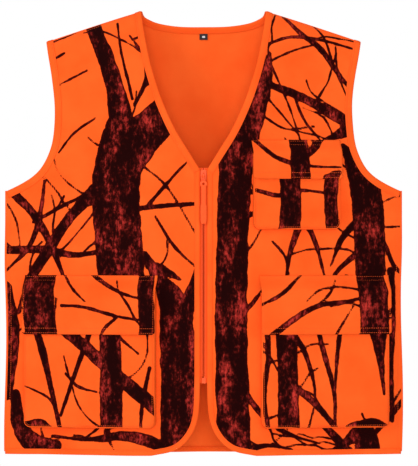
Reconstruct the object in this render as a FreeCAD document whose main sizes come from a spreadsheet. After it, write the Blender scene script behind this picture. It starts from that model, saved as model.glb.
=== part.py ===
import FreeCAD, Part

import math
import os

import Sketcher
from FreeCAD import Placement, Rotation, Vector

# Front-opening field vest, hanging as it does from a hanger.
# Origin: midway between the two neck points of the shoulder seams. +Z is up, the front faces -Y,
# and +X is the wearer's left. Lengths are millimetres.

DIMENSIONS = (
    ("body_width", 580, "side seam to side seam"),
    ("body_length", 649, "neck point to hem"),
    ("half_depth", 50, "centre front to the plane of the side seams"),
    ("centre_round", 0.35, "how softly the front turns at the zip, as a share of half the width"),
    ("shoulder_turn", 150, "height over which the cloth turns down from the shoulder seam"),
    ("shoulder_slope", 0.349, "fall of the shoulder seam for each unit outwards"),
    ("neck_softness", 60, "how softly the shoulder line levels out towards the neck"),
    ("neck_point", 92.6, "centre to the neck point of the shoulder seam"),
    ("cloth", 1.5, "printed cloth"),
    ("binding_cloth", 1.05, "one layer of binding"),
    ("binding_gap", 0.15, "air between cloth and binding"),
    ("neck_binding_width", 10, "neck binding"),
    ("arm_binding_width", 10.8, "armhole binding"),
    ("hem_binding_width", 8.2, "front edge and hem binding"),
    ("front_gap", 4.9, "centre to the free edge of the front binding"),
    ("neck_bottom", 232, "neck point down to the bottom of the V"),
    ("zip_end", 533, "neck point down to the zip's box"),
    ("tape_width", 11, "zip tape showing and sewn, one side"),
    ("tape_cloth", 0.7, "zip tape"),
    ("tape_depth", 1.9, "centre front cloth back to the middle of the tape"),
    ("teeth_gap", 0.8, "centre to the tips of the teeth"),
    ("teeth_reach", 1.5, "tip of a tooth to the tape"),
    ("teeth_thick", 2.2, "zip teeth, front to back"),
    ("tooth_height", 1.3, "one tooth"),
    ("tooth_pitch", 2.4, "tooth to tooth"),
    ("tooth_count", 118, "teeth on one side"),
    ("slider_half_width", 4.3, "slider"),
    ("slider_length", 17, "slider"),
    ("slider_plate", 1.2, "each plate of the slider"),
    ("slider_play", 0.25, "slider to teeth"),
    ("pull_reach", 4.1, "front plate to the middle of the pull's bar"),
    ("pull_bar", 0.6, "radius of the pull's bar"),
    ("pull_thick", 1.2, "pull"),
    ("pull_drop", 8.5, "slider top to the pull's bar"),
    ("tape_above", 3, "zip tape above the bottom of the V"),
    ("tape_below", 10, "zip tape below the end of the teeth"),
    ("teeth_start", 18, "bottom of the V down to the first tooth on the wearer's right"),
    ("stop_height", 2.2, "top stop"),
    ("stop_lift", 0.4, "bottom of the V up to the top stop"),
    ("pin_width", 1.3, "insertion pin"),
    ("pin_thick", 1.5, "insertion pin, front to back"),
    ("pin_start", 0.4, "end of the teeth down to the pin"),
    ("pin_end", 11, "end of the teeth down to the pin's tip"),
    ("pin_play", 0.15, "pin to the inside of the box"),
    ("box_reach", 3.1, "centre to the box's open side"),
    ("box_start", 2, "end of the teeth down to the box"),
    ("box_end", 10, "end of the teeth down to the box's bottom"),
    ("box_thick", 3.2, "box, front to back"),
    ("box_slot", 1.8, "slot in the box, front to back"),
    ("web_height", 5, "web between the slider's plates"),
    ("web_play", 0.2, "web to the tips of the teeth"),
    ("bail_width", 2.2, "bail on the slider, side to side"),
    ("bail_wall", 0.9, "bail, round the bar"),
    ("bail_room", 0.35, "bail to the bar"),
    ("bail_top", 3, "slider top down to the bail"),
    ("bail_fall", 1.6, "fall of the bail's upper edge"),
    ("arm_room", 0.35, "bail to an arm of the pull"),
    ("arm_width", 1.4, "one arm of the pull"),
    ("arm_drop", 9, "bar to the end of the arms"),
    ("ring_start", 8, "bar to the top of the ring"),
    ("ring_middle", 12, "bar to the widest part of the ring"),
    ("ring_end", 15.5, "bar to the bottom of the ring"),
    ("ring_half_width", 5.6, "ring of the pull"),
    ("eye_half_width", 1.5, "eye in the ring"),
    ("eye_top", 10.6, "bar to the top of the eye"),
    ("eye_bottom", 13.6, "bar to the bottom of the eye"),
    ("tab_start", 15.6, "bar to the top of the tab"),
    ("tab_flare", 41, "bar to where the tab widens"),
    ("tab_wide", 44, "bar to the tab's full width"),
    ("tab_end", 70, "bar to the bottom of the tab"),
    ("tab_half_width", 4.4, "lower part of the tab"),
    ("tab_neck", 3.3, "half width of the upper part of the tab"),
    ("lower_width_right", 199, "lower pocket on the wearer's right"),
    ("lower_width_left", 194, "lower pocket on the wearer's left"),
    ("lower_height", 222, "lower pocket, flap seam to bottom"),
    ("lower_depth", 11, "lower pocket, inside"),
    ("lower_mouth", 26, "flap seam down to the mouth of a lower pocket"),
    ("lower_flap", 86, "lower pocket flap"),
    ("chest_width", 132, "chest pocket"),
    ("chest_height", 130, "chest pocket, flap seam to bottom"),
    ("chest_depth", 8, "chest pocket, inside"),
    ("chest_mouth", 21, "flap seam down to the mouth of the chest pocket"),
    ("chest_flap", 57, "chest pocket flap"),
    ("pocket_cloth", 1.4, "cloth of the pockets and flaps"),
    ("corner_cut", 9, "cut corners at the bottom of a pocket"),
    ("closure_gap", 3, "pocket face to the inside of the flap"),
    ("closure_thick", 1, "hook tape or loop tape"),
    ("closure_height", 18, "hook tape or loop tape"),
    ("closure_share", 0.4, "length of the tapes as a share of the pocket's width"),
    ("closure_rise", 8, "lower edge of the flap up to the tapes"),
    ("seat_clear", 0.3, "front cloth to the back of a pocket"),
    ("side_room", 2, "flap beyond the pocket's side"),
    ("flap_crease", 3, "mouth up to where the flap bends"),
    ("flap_shoulder", 2, "bend of the flap, outside above inside"),
    ("flap_land", 1.4, "seam down to where the flap lifts off"),
    ("seam_reach", 1.0, "cloth to the line that a flap turns about"),
    ("label_width", 12, "size label"),
    ("label_height", 8.4, "size label"),
    ("label_cloth", 0.5, "size label"),
    ("label_room", 0.3, "neck binding to the size label"),
    ("label_drop", 32.5, "neck point down to the middle of the size label"),
)

# Free edges of the bindings for the wearer's left half, as (x, z) from the neck point.
ARMHOLE = (
    (234, -24), (229, -58), (222.5, -95), (218, -134), (219, -167), (224, -198),
    (235, -224), (249, -240), (270, -253), (300, -267),
)
FRONT_NECK = ((93, 16), (88.5, -20), (80.5, -63), (72, -96), (59, -134), (41, -173), (19, -209))
BACK_NECK = ((93, 16), (88.5, -3), (81.5, -9), (65, -15), (36, -19), (0, -19.6))
FRONT_CORNER = ((6, -575), (9.5, -599), (17, -617), (30, -633), (47, -643))
CORNER_END = 76
FAR = 120  # further than any cloth lies from the plane of the side seams
PAST_SIDE = 300  # outlines run on past the side seam, and are trimmed there
PAST_HEM = 8  # the cloth surface runs on below the hem, and is trimmed there

POCKETS = (
    # name, size prefix, width, centre x, flap seam z
    ("lower_right_pocket", "lower", "lower_width_right", -164.5, -386),
    ("lower_left_pocket", "lower", "lower_width_left", 176, -386),
    ("chest_pocket", "chest", "chest_width", 135, -188),
)

doc = FreeCAD.newDocument("FieldVest")
sheet = doc.addObject("Spreadsheet::Sheet", "Dimensions")
for row, (alias, value, note) in enumerate(DIMENSIONS, start=1):
    sheet.set(f"A{row}", alias)
    sheet.set(f"B{row}", str(value))
    sheet.set(f"C{row}", note)
    sheet.setAlias(f"B{row}", alias)
doc.recompute()


class Size:
    """A length that knows both its value and the expression that gives it."""

    def __init__(self, value, text):
        self.value = float(value)
        self.text = text

    def join(self, other, sign, value):
        text = other.text if isinstance(other, Size) else str(other)
        return Size(value, f"({self.text} {sign} {text})")

    def __add__(self, other):
        return self.join(other, "+", self.value + number(other))

    def __sub__(self, other):
        return self.join(other, "-", self.value - number(other))

    def __mul__(self, other):
        return self.join(other, "*", self.value * number(other))

    def __truediv__(self, other):
        return self.join(other, "/", self.value / number(other))

    def __neg__(self):
        return Size(-self.value, f"(-1 * {self.text})")


def number(item):
    return item.value if isinstance(item, Size) else float(item)


def size(alias):
    return Size(getattr(sheet, alias), f"Dimensions.{alias}")


def fixed(value):
    return Size(value, str(value))


SIZES = {alias: float(getattr(sheet, alias)) for alias, _, _ in DIMENSIONS}
HALF = SIZES["body_width"] / 2
LENGTH = SIZES["body_length"]
CLOTH = SIZES["cloth"]
GAP = SIZES["binding_gap"]
BIND = SIZES["binding_cloth"]

nodes = []


def keep(node, name):
    """Names a finished sub-part, which is written to a file of that name."""
    node.Label = name
    nodes.append(node)
    return node


# ---------------------------------------------------------------- cloth surface


def shoulder_line(x):
    """Height of the shoulder seam, level at the neck and falling outwards."""
    soft = SIZES["neck_softness"]
    fall = math.hypot(x, soft) - math.hypot(SIZES["neck_point"], soft)
    return -SIZES["shoulder_slope"] * fall


def shoulder_slope_at(x):
    step = 0.01
    return (shoulder_line(x + step) - shoulder_line(x - step)) / (2 * step)


def fullness(x):
    """1 at centre front, 0 at the side seam, nearly straight between."""
    soft = SIZES["centre_round"]
    top = math.hypot(1, soft)
    return (top - math.hypot(x / HALF, soft)) / (top - soft)


def cloth_at(x, down):
    """Point of the front's inner face: down runs 0 to 1 round the shoulder, then 1 to 2 to the hem."""
    turn = SIZES["shoulder_turn"]
    angle = min(down, 1) * math.pi / 2
    top = shoulder_line(x)
    bottom = top - turn
    z = top - turn * (1 - math.cos(angle)) + max(down - 1, 0) * (-LENGTH - PAST_HEM - bottom)
    return Vector(x, -SIZES["half_depth"] * fullness(x) * math.sin(angle), z)


def cloth_out(x, down):
    """Direction out of the front cloth."""
    step = 0.002
    along = cloth_at(x + step, down) - cloth_at(x - step, down)
    low = max(down - step, 0)
    drop = cloth_at(x, low + step) - cloth_at(x, low)
    if down > 0:
        return drop.cross(along).normalize()
    return Vector(-shoulder_slope_at(x), 0, 1).normalize()


ACROSS = [PAST_SIDE * (i / 8 - 1) for i in range(17)]
DOWN = [i / 7 for i in range(7)] + [1 + i / 15 for i in range(16)]


def cloth_surface(out):
    grid = [[cloth_at(x, d) + cloth_out(x, d) * out for d in DOWN] for x in ACROSS]
    surface = Part.BSplineSurface()
    surface.interpolate(grid)
    return surface


def layer(inner, outer):
    """Solid of the front cloth between two distances out from its inner face."""
    low, high = cloth_surface(inner), cloth_surface(outer)
    faces = [low.toShape(), high.toShape()]
    for side in range(4):
        edges = []
        for surface in (low, high):
            u0, u1, v0, v1 = surface.bounds()
            curve = (
                surface.uIso(u0), surface.uIso(u1), surface.vIso(v0), surface.vIso(v1)
            )[side]
            edges.append(curve.toShape())
        faces.append(Part.makeRuledSurface(*edges))
    shell = Part.makeShell(faces)
    shell.sewShape()
    solid = Part.makeSolid(shell)
    if solid.Volume < 0:
        solid.reverse()
    return solid


# ---------------------------------------------------------------- outlines


def flat(x, z):
    return Vector(x, 0, z)


def spline(points, start=None, end=None):
    """Smooth edge through points, with its directions at the two ends if given."""
    curve = Part.BSplineCurve()
    if start is None:
        curve.interpolate(Points=points)
    else:
        curve.interpolate(Points=points, InitialTangent=start, FinalTangent=end)
    return curve


def beside(curve, distance, count=28):
    """The curve moved sideways, to the left of the way it runs when seen from the front."""
    first, last = curve.FirstParameter, curve.LastParameter
    points = []
    for i in range(count + 1):
        at = first + (last - first) * i / count
        along = curve.tangent(at)[0]
        points.append(curve.value(at) + Vector(-along.z, 0, along.x) * distance)
    return spline(points, curve.tangent(first)[0], curve.tangent(last)[0])


DOWNWARD, OUTWARD = Vector(0, 0, -1), Vector(1, 0, 0)
EDGE_X, NECK_Z, ZIP_Z = SIZES["front_gap"], -SIZES["neck_bottom"], -SIZES["zip_end"]

neck_points = [flat(*p) for p in FRONT_NECK] + [flat(EDGE_X, NECK_Z)]
neck_start = (neck_points[1] - neck_points[0]).normalize()
neck_curve = spline(neck_points, neck_start, (DOWNWARD - OUTWARD * 0.45).normalize())
corner_points = [flat(*p) for p in FRONT_CORNER]
corner_curve = spline(
    [flat(EDGE_X, ZIP_Z), *corner_points, flat(CORNER_END, -LENGTH)], DOWNWARD, OUTWARD
)
armhole_points = [flat(*p) for p in ARMHOLE]
armhole_curve = spline(armhole_points)
half_back_neck = [flat(*p) for p in BACK_NECK]
back_neck_curve = spline(half_back_neck + [flat(-p.x, p.z) for p in half_back_neck[-2::-1]])


def closed(parts):
    """One wire from edges and curves, joined end to end by straight lines."""
    edges = []
    for part in parts:
        edge = part.toShape() if hasattr(part, "toShape") else part
        if edges:
            a = edges[-1].valueAt(edges[-1].LastParameter)
            b = edge.valueAt(edge.FirstParameter)
            if a.distanceToPoint(b) > 1e-6:
                edges.append(Part.makeLine(a, b))
        edges.append(edge)
    a = edges[-1].valueAt(edges[-1].LastParameter)
    b = edges[0].valueAt(edges[0].FirstParameter)
    if a.distanceToPoint(b) > 1e-6:
        edges.append(Part.makeLine(a, b))
    return Part.Wire(edges)


def backwards(curve):
    turned = curve.copy()
    turned.reverse()
    return turned


def prism(parts, near=0.0, far=FAR):
    """The outline carried through the front, from near to far in front of the side seams."""
    shape = Part.Face(closed(parts)).extrude(Vector(0, near - far, 0))
    shape.translate(Vector(0, -near, 0))
    return shape


def line(x1, z1, x2, z2):
    return Part.makeLine(flat(x1, z1), flat(x2, z2))


def front_outline(inset, near):
    """Outline of one front, in from its free edges."""
    neck = beside(neck_curve, inset)
    corner = beside(corner_curve, inset)
    arm = beside(armhole_curve, -inset)
    hem = line(CORNER_END, -LENGTH + inset, PAST_SIDE, -LENGTH + inset)
    return prism([neck, corner, hem, backwards(arm)], near)


def back_outline(inset, near):
    """Outline of the whole back, in from its free edges."""
    neck = beside(back_neck_curve, inset)
    arm = beside(armhole_curve, -inset)
    other = beside(spline([flat(-p.x, p.z) for p in armhole_points]), inset)
    hem = line(-PAST_SIDE, -LENGTH + inset, PAST_SIDE, -LENGTH + inset)
    return prism([neck, other, hem, backwards(arm)], near)


def trimmed(shape):
    """Cut off at the side seams."""
    box = Part.makeBox(2 * HALF, 4 * FAR, 2 * LENGTH, Vector(-HALF, -2 * FAR, -1.5 * LENGTH))
    return shape.common(box)


def to_back(shape):
    return shape.mirror(Vector(), Vector(0, 1, 0))


def to_right(shape):
    return shape.mirror(Vector(), Vector(1, 0, 0))


def single(shape):
    """The one solid in a boolean's result, or the compound if it has several."""
    return shape.Solids[0] if len(shape.Solids) == 1 else Part.makeCompound(shape.Solids)


def shape_node(name, shape):
    node = doc.addObject("Part::Feature", name)
    node.Shape = single(shape)
    return keep(node, name)


# ---------------------------------------------------------------- panels and bindings

cloth = layer(0, CLOTH)
slot = layer(-GAP, CLOTH + GAP)
wrap = layer(-GAP - BIND, CLOTH + GAP + BIND)
RAW_EDGE = BIND + GAP  # cloth stops this far inside the binding's free edge
SEAM = 0.15  # each cloth stops this far from the plane of the side and shoulder seams

front_left = trimmed(cloth.common(front_outline(RAW_EDGE, SEAM)))
shape_node("front_left_panel", front_left)
shape_node("front_right_panel", to_right(front_left))
back = trimmed(cloth.common(back_outline(RAW_EDGE, SEAM)))
shape_node("back_panel", to_back(back))

front_slot = slot.common(front_outline(BIND, 0))
back_slot = slot.common(back_outline(BIND, 0))


def bound(band, hollow):
    """Binding folded round an edge: the wrap over the band, less the cloth and its air."""
    return trimmed(wrap.common(band)).cut(hollow)


neck_width = SIZES["neck_binding_width"]
neck_band = prism([neck_curve, backwards(beside(neck_curve, neck_width))])
neck_front = bound(neck_band, front_slot)
neck_back = to_back(
    bound(prism([back_neck_curve, backwards(beside(back_neck_curve, neck_width))]), back_slot)
)
shape_node("neck_binding", neck_back.fuse([neck_front, to_right(neck_front)]))

arm_width = SIZES["arm_binding_width"]
arm_front = bound(
    prism([armhole_curve, backwards(beside(armhole_curve, -arm_width))]), front_slot
)
armhole_binding = arm_front.fuse(to_back(arm_front))
shape_node("left_armhole_binding", armhole_binding)
shape_node("right_armhole_binding", to_right(armhole_binding))

hem_width = SIZES["hem_binding_width"]
front_edge = line(EDGE_X, NECK_Z, EDGE_X, ZIP_Z)
inner_edge = line(EDGE_X + hem_width, ZIP_Z, EDGE_X + hem_width, NECK_Z)
hem_edge = line(CORNER_END, -LENGTH, PAST_SIDE, -LENGTH)
inner_hem = line(PAST_SIDE, -LENGTH + hem_width, CORNER_END, -LENGTH + hem_width)
front_band = prism(
    [
        front_edge, corner_curve, hem_edge, inner_hem,
        backwards(beside(corner_curve, hem_width)), inner_edge,
    ],
    SEAM,
)
front_binding = bound(front_band.cut(neck_band), front_slot)
shape_node("left_front_binding", front_binding)
shape_node("right_front_binding", to_right(front_binding))
back_band = prism(
    [
        line(-PAST_SIDE, -LENGTH, PAST_SIDE, -LENGTH),
        line(PAST_SIDE, -LENGTH + hem_width, -PAST_SIDE, -LENGTH + hem_width),
    ],
    SEAM,
)
shape_node("back_hem_binding", to_back(bound(back_band, back_slot)))


# ---------------------------------------------------------------- sketch helpers


def new_body(name):
    body = doc.addObject("PartDesign::Body", name)
    return keep(body, name)


def origin_plane(body, role):
    return next(f for f in body.Origin.OriginFeatures if f.Role == role)


def outline_sketch(body, name, role, corners, offset=None):
    """Closed polygon whose corners are Size pairs, each bound to the sheet."""
    sketch = body.newObject("Sketcher::SketchObject", name)
    sketch.AttachmentSupport = [(origin_plane(body, role), "")]
    sketch.MapMode = "FlatFace"
    if offset is not None:
        sketch.AttachmentOffset = Placement(Vector(0, 0, offset.value), Rotation())
        sketch.setExpression(".AttachmentOffset.Base.z", offset.text)
    points = [Vector(a.value, b.value, 0) for a, b in corners]
    count = len(points)
    for i in range(count):
        sketch.addGeometry(Part.LineSegment(points[i], points[(i + 1) % count]))
    for i in range(count):
        sketch.addConstraint(Sketcher.Constraint("Coincident", i, 2, (i + 1) % count, 1))
    for i, (a, b) in enumerate(corners):
        for kind, item in (("DistanceX", a), ("DistanceY", b)):
            number_of = sketch.addConstraint(Sketcher.Constraint(kind, -1, 1, i, 1, item.value))
            sketch.setExpression(f"Constraints[{number_of}]", item.text)
    return sketch


def pad(body, sketch, length, both_ways=False, reverse=False):
    feature = body.newObject("PartDesign::Pad", sketch.Name + "Pad")
    feature.Profile = sketch
    feature.Length = length.value
    feature.setExpression("Length", length.text)
    feature.Midplane = both_ways
    feature.Reversed = reverse
    sketch.Visibility = False
    return feature


def rectangle(x0, z0, x1, z1):
    return [(x0, z0), (x1, z0), (x1, z1), (x0, z1)]


# ---------------------------------------------------------------- zip

zero = fixed(0)
front_y = -SIZES["half_depth"]
tape_y = front_y + SIZES["tape_depth"]
slider_top = NECK_Z
zip_length = size("zip_end") - size("neck_bottom")
TAPE_ROOM = 0.05  # teeth to the edge of the tape
BEAD_SHARE = 0.45  # the strip that joins the teeth begins this far from their tips
BEAD_THIN = 0.6  # thickness of that strip as a share of the teeth


def place(node, x=0.0, y=0.0, z=0.0, turn=0.0):
    node.Placement = Placement(Vector(x, y, z), Rotation(Vector(0, 0, 1), turn))


def box_node(name, wide, deep, high, position, turn=0.0):
    """Part::Box with its sizes bound to the sheet, placed by its low corner."""
    box = doc.addObject("Part::Box", name)
    for key, item in (("Length", wide), ("Width", deep), ("Height", high)):
        box.setExpression(key, item.text)
    box.Placement = Placement(position, Rotation(Vector(0, 0, 1), turn))
    return keep(box, name)


def zip_half(side, sign):
    """Tape and teeth of one side of the zip; sign is +1 for the wearer's left."""
    inner = size("teeth_gap") + size("teeth_reach") + TAPE_ROOM
    outer = inner + size("tape_width")
    body = new_body(f"zip_tape_{side}")
    sketch = outline_sketch(
        body, f"Tape{side}", "XZ_Plane",
        rectangle(
            inner * sign, -(zip_length + size("tape_below")), outer * sign, size("tape_above")
        ),
    )
    pad(body, sketch, size("tape_cloth"), both_ways=True)
    place(body, y=tape_y, z=NECK_Z)

    teeth = new_body(f"zip_teeth_{side}")
    tip = size("teeth_gap") * sign
    root = (size("teeth_gap") + size("teeth_reach")) * sign
    bead = (size("teeth_gap") + size("teeth_reach") * BEAD_SHARE) * sign
    spine = outline_sketch(
        teeth, f"Spine{side}", "XZ_Plane",
        rectangle(bead, -zip_length, root, -size("teeth_start")),
    )
    pad(teeth, spine, size("teeth_thick") * BEAD_THIN, both_ways=True)
    doc.recompute()
    stagger = size("teeth_start")
    if sign > 0:
        stagger = stagger + size("tooth_pitch") / 2
    tooth = outline_sketch(
        teeth, f"Tooth{side}", "XZ_Plane",
        rectangle(tip, -(stagger + size("tooth_height")), root, -stagger),
    )
    tooth_pad = pad(teeth, tooth, size("teeth_thick"), both_ways=True)
    doc.recompute()
    row = teeth.newObject("PartDesign::LinearPattern", f"Row{side}")
    row.Originals = [tooth_pad]
    row.Direction = (origin_plane(teeth, "Z_Axis"), [""])
    row.Reversed = True
    row.setExpression("Length", "Dimensions.tooth_pitch * (Dimensions.tooth_count - 1)")
    row.setExpression("Occurrences", "Dimensions.tooth_count")
    teeth.Tip = row
    place(teeth, y=tape_y, z=NECK_Z)


zip_half("left", 1)
zip_half("right", -1)

for side, sign in (("left", 1), ("right", -1)):
    stop = new_body(f"zip_top_stop_{side}")
    inner = size("teeth_gap") * sign
    outer = (size("teeth_gap") + size("teeth_reach")) * sign
    stop_sketch = outline_sketch(
        stop, f"Stop{side}", "XZ_Plane",
        rectangle(inner, size("stop_lift"), outer, size("stop_lift") + size("stop_height")),
    )
    pad(stop, stop_sketch, size("teeth_thick"), both_ways=True)
    place(stop, y=tape_y, z=NECK_Z)

# The pin hangs from the wearer's left teeth and sits in the box on the other side.
pin_inner = size("teeth_gap")
pin = new_body("zip_insertion_pin")
pin_sketch = outline_sketch(
    pin, "Pin", "XZ_Plane",
    rectangle(pin_inner, -size("pin_end"), pin_inner + size("pin_width"), -size("pin_start")),
)
pad(pin, pin_sketch, size("pin_thick"), both_ways=True)
place(pin, y=tape_y, z=ZIP_Z)

catch = new_body("zip_box")
catch_sketch = outline_sketch(
    catch, "Catch", "XZ_Plane",
    rectangle(
        -(size("teeth_gap") + size("teeth_reach")), -size("box_end"),
        size("box_reach"), -size("box_start"),
    ),
)
pad(catch, catch_sketch, size("box_thick"), both_ways=True)
doc.recompute()
# The slot is cut past the box above, below and on its open side.
cavity = outline_sketch(
    catch, "PinHole", "XZ_Plane",
    rectangle(
        pin_inner - size("pin_play"), -(size("box_end") + 2), size("box_reach") + 1,
        -(size("box_start") - 1),
    ),
)
cavity_cut = catch.newObject("PartDesign::Pocket", "PinHolePocket")
cavity_cut.Profile = cavity
cavity_cut.Midplane = True
cavity_cut.setExpression("Length", "Dimensions.box_slot")
place(catch, y=tape_y, z=ZIP_Z)

# The slider's two plates ride before and behind the teeth, joined by a web between the two rows.
slider_half = size("slider_half_width")
slider_tall = size("slider_length")
gap_half = size("teeth_thick") / 2 + size("slider_play")
slider = new_body("zip_slider")
foot, crown = slider_half * 0.72, slider_half * 0.9
widest = -slider_tall * 0.35
plate_corners = [
    (-foot, -slider_tall), (foot, -slider_tall), (slider_half, widest), (crown, zero),
    (-crown, zero), (-slider_half, widest),
]
web_half = size("teeth_gap") - size("web_play")
web = outline_sketch(
    slider, "Web", "XZ_Plane", rectangle(-web_half, -size("web_height"), web_half, zero)
)
pad(slider, web, (gap_half + size("slider_plate")) * 2, both_ways=True)
doc.recompute()
front_plate = outline_sketch(slider, "FrontPlate", "XZ_Plane", plate_corners, gap_half)
pad(slider, front_plate, size("slider_plate"))
doc.recompute()
back_plate = outline_sketch(slider, "BackPlate", "XZ_Plane", plate_corners, -gap_half)
pad(slider, back_plate, size("slider_plate"), reverse=True)
doc.recompute()
plate_face = gap_half + size("slider_plate")
bar_out = plate_face + size("pull_reach")
bar_z = -size("pull_drop")
bail_room = size("pull_bar") + size("bail_room")
bail_front = bar_out + bail_room + size("bail_wall")
bail_root = plate_face - size("slider_plate") / 4
bail_bottom = bar_z - bail_room
bail = outline_sketch(
    slider, "Bail", "YZ_Plane",
    [
        (-bail_root, -size("bail_top")),
        (-bail_front, -(size("bail_top") + size("bail_fall"))),
        (-bail_front, bail_bottom - size("bail_wall")),
        (-(bar_out - bail_room), bail_bottom - size("bail_wall")),
        (-(bar_out - bail_room), bail_bottom),
        (-(bar_out + bail_room), bail_bottom),
        (-(bar_out + bail_room), bar_z + bail_room),
        (-bail_root, bar_z + bail_room),
    ],
)
pad(slider, bail, size("bail_width"), both_ways=True)
place(slider, y=tape_y, z=slider_top)

# The pull: a bar through the bail, two arms, and a ring that holds the long tab.
arm_inner = size("bail_width") / 2 + size("arm_room")
arm_outer = arm_inner + size("arm_width")
pull = new_body("zip_pull")
bar_sketch = outline_sketch(
    pull, "Bar", "XZ_Plane",
    rectangle(-arm_outer, -size("pull_bar"), arm_outer, size("pull_bar")),
)
pad(pull, bar_sketch, size("pull_bar") * 2, both_ways=True)
doc.recompute()
for side, sign in (("Left", 1), ("Right", -1)):
    arm = outline_sketch(
        pull, f"Arm{side}", "XZ_Plane",
        rectangle(arm_inner * sign, -size("arm_drop"), arm_outer * sign, size("pull_bar")),
    )
    pad(pull, arm, size("pull_thick"), both_ways=True)
    doc.recompute()
ring_half, ring_foot = size("ring_half_width"), size("ring_half_width") * 0.8
ring = outline_sketch(
    pull, "Ring", "XZ_Plane",
    [
        (-arm_outer, -size("ring_start")), (-ring_half, -size("ring_middle")),
        (-ring_foot, -size("ring_end")), (ring_foot, -size("ring_end")),
        (ring_half, -size("ring_middle")), (arm_outer, -size("ring_start")),
    ],
)
pad(pull, ring, size("pull_thick"), both_ways=True)
doc.recompute()
eye = outline_sketch(
    pull, "Eye", "XZ_Plane",
    rectangle(
        -size("eye_half_width"), -size("eye_bottom"), size("eye_half_width"), -size("eye_top")
    ),
)
eye_cut = pull.newObject("PartDesign::Pocket", "EyePocket")
eye_cut.Profile = eye
eye_cut.Midplane = True
eye_cut.Length = 10 * SIZES["pull_thick"]
bar_y = tape_y - bar_out.value
place(pull, y=bar_y, z=slider_top + bar_z.value)

tab = new_body("zip_pull_tab")
neck_half, tab_half = size("tab_neck"), size("tab_half_width")
tab_end, tab_wide = -size("tab_end"), -size("tab_wide")
tab_flare, tab_start = -size("tab_flare"), -size("tab_start")
tab_sketch = outline_sketch(
    tab, "Tab", "XZ_Plane",
    [
        (-tab_half, tab_end), (tab_half, tab_end), (tab_half, tab_wide), (neck_half, tab_flare),
        (neck_half, tab_start), (-neck_half, tab_start), (-neck_half, tab_flare),
        (-tab_half, tab_wide),
    ],
)
pad(tab, tab_sketch, size("pull_thick"), both_ways=True)
place(tab, y=bar_y, z=slider_top + bar_z.value)


# ---------------------------------------------------------------- pockets

SAMPLES = 40  # places across a pocket at which the cloth's bulge is measured
MIDDLE = 1.5  # the straight part of the front, see cloth_at


def pocket_seat(centre_x, width):
    """Place and turn of a flat plane laid against the front's outside, under a pocket."""
    a, b = centre_x - width / 2, centre_x + width / 2
    start, end = cloth_at(a, MIDDLE), cloth_at(b, MIDDLE)
    slope = (end.y - start.y) / (b - a)
    lean = math.hypot(1, slope)
    rise = max(
        (start.y + slope * (x - a) - cloth_at(x, MIDDLE).y) / lean
        for x in [a + (b - a) * i / SAMPLES for i in range(SAMPLES + 1)]
    )
    out = rise + CLOTH + SIZES["seat_clear"]
    middle_y = (start.y + end.y) / 2
    return (
        Vector(centre_x + slope / lean * out, middle_y - out / lean, 0),
        math.degrees(math.atan(slope)),
    )


def u_corners(half, tall, mouth, cut, thick):
    """A strip's end view down one side, across the bottom and up the other."""
    inner_cut = cut * 0.8
    inner = half - thick
    floor = -(tall - thick)
    return [
        (-half, -mouth), (-half, -(tall - cut)), (-(half - cut), -tall), (half - cut, -tall),
        (half, -(tall - cut)), (half, -mouth), (inner, -mouth), (inner, floor + inner_cut),
        (inner - inner_cut, floor), (-(inner - inner_cut), floor), (-inner, floor + inner_cut),
        (-inner, -mouth),
    ]


def pocket(name, prefix, width_alias, centre_x, seam_z):
    wide, tall = size(width_alias), size(prefix + "_height")
    deep, mouth = size(prefix + "_depth"), size(prefix + "_mouth")
    flap_drop = size(prefix + "_flap")
    cloth_size, cut = size("pocket_cloth"), size("corner_cut")
    half = wide / 2 - size("side_room")
    seat, turn = pocket_seat(centre_x, wide.value)
    seat.z = seam_z

    gusset = new_body(f"{name}_gusset")
    strip = outline_sketch(
        gusset, f"{name}GussetOutline", "XZ_Plane", u_corners(half, tall, mouth, cut, cloth_size)
    )
    pad(gusset, strip, deep)
    face = new_body(f"{name}_face")
    face_outline = [
        (-half, -mouth), (-half, -(tall - cut)), (-(half - cut), -tall), (half - cut, -tall),
        (half, -(tall - cut)), (half, -mouth),
    ]
    face_sketch = outline_sketch(face, f"{name}FaceOutline", "XZ_Plane", face_outline, deep)
    pad(face, face_sketch, cloth_size)

    flap = new_body(f"{name}_flap")
    near, inside = size("seam_reach") - cloth_size / 2, deep + cloth_size + size("closure_gap")
    outside, bend = inside + cloth_size, mouth - size("flap_crease")
    profile = outline_sketch(
        flap, f"{name}FlapProfile", "YZ_Plane",
        [
            (-(near + cloth_size), zero), (-outside, -(bend - size("flap_shoulder"))),
            (-outside, -flap_drop), (-inside, -flap_drop), (-inside, -bend),
            (-near, -size("flap_land")), (-near, zero),
        ],
    )
    pad(flap, profile, wide, both_ways=True)
    for body in (gusset, face, flap):
        body.Placement = Placement(seat, Rotation(Vector(0, 0, 1), turn))

    # Hook tape inside the flap, loop tape on the pocket's face behind it.
    tape_wide, tape_high = wide * size("closure_share"), size("closure_height")
    for tape, start in (("loop", deep + cloth_size), ("hook", inside - size("closure_thick"))):
        corner = Vector(
            -tape_wide.value / 2,
            -(start.value + SIZES["closure_thick"]),
            -flap_drop.value + SIZES["closure_rise"],
        )
        rotation = Rotation(Vector(0, 0, 1), turn)
        box_node(
            f"{name}_{tape}_tape", tape_wide, size("closure_thick"), tape_high,
            seat + rotation.multVec(corner), turn,
        )


for pocket_values in POCKETS:
    pocket(*pocket_values)

# ---------------------------------------------------------------- size label

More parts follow.
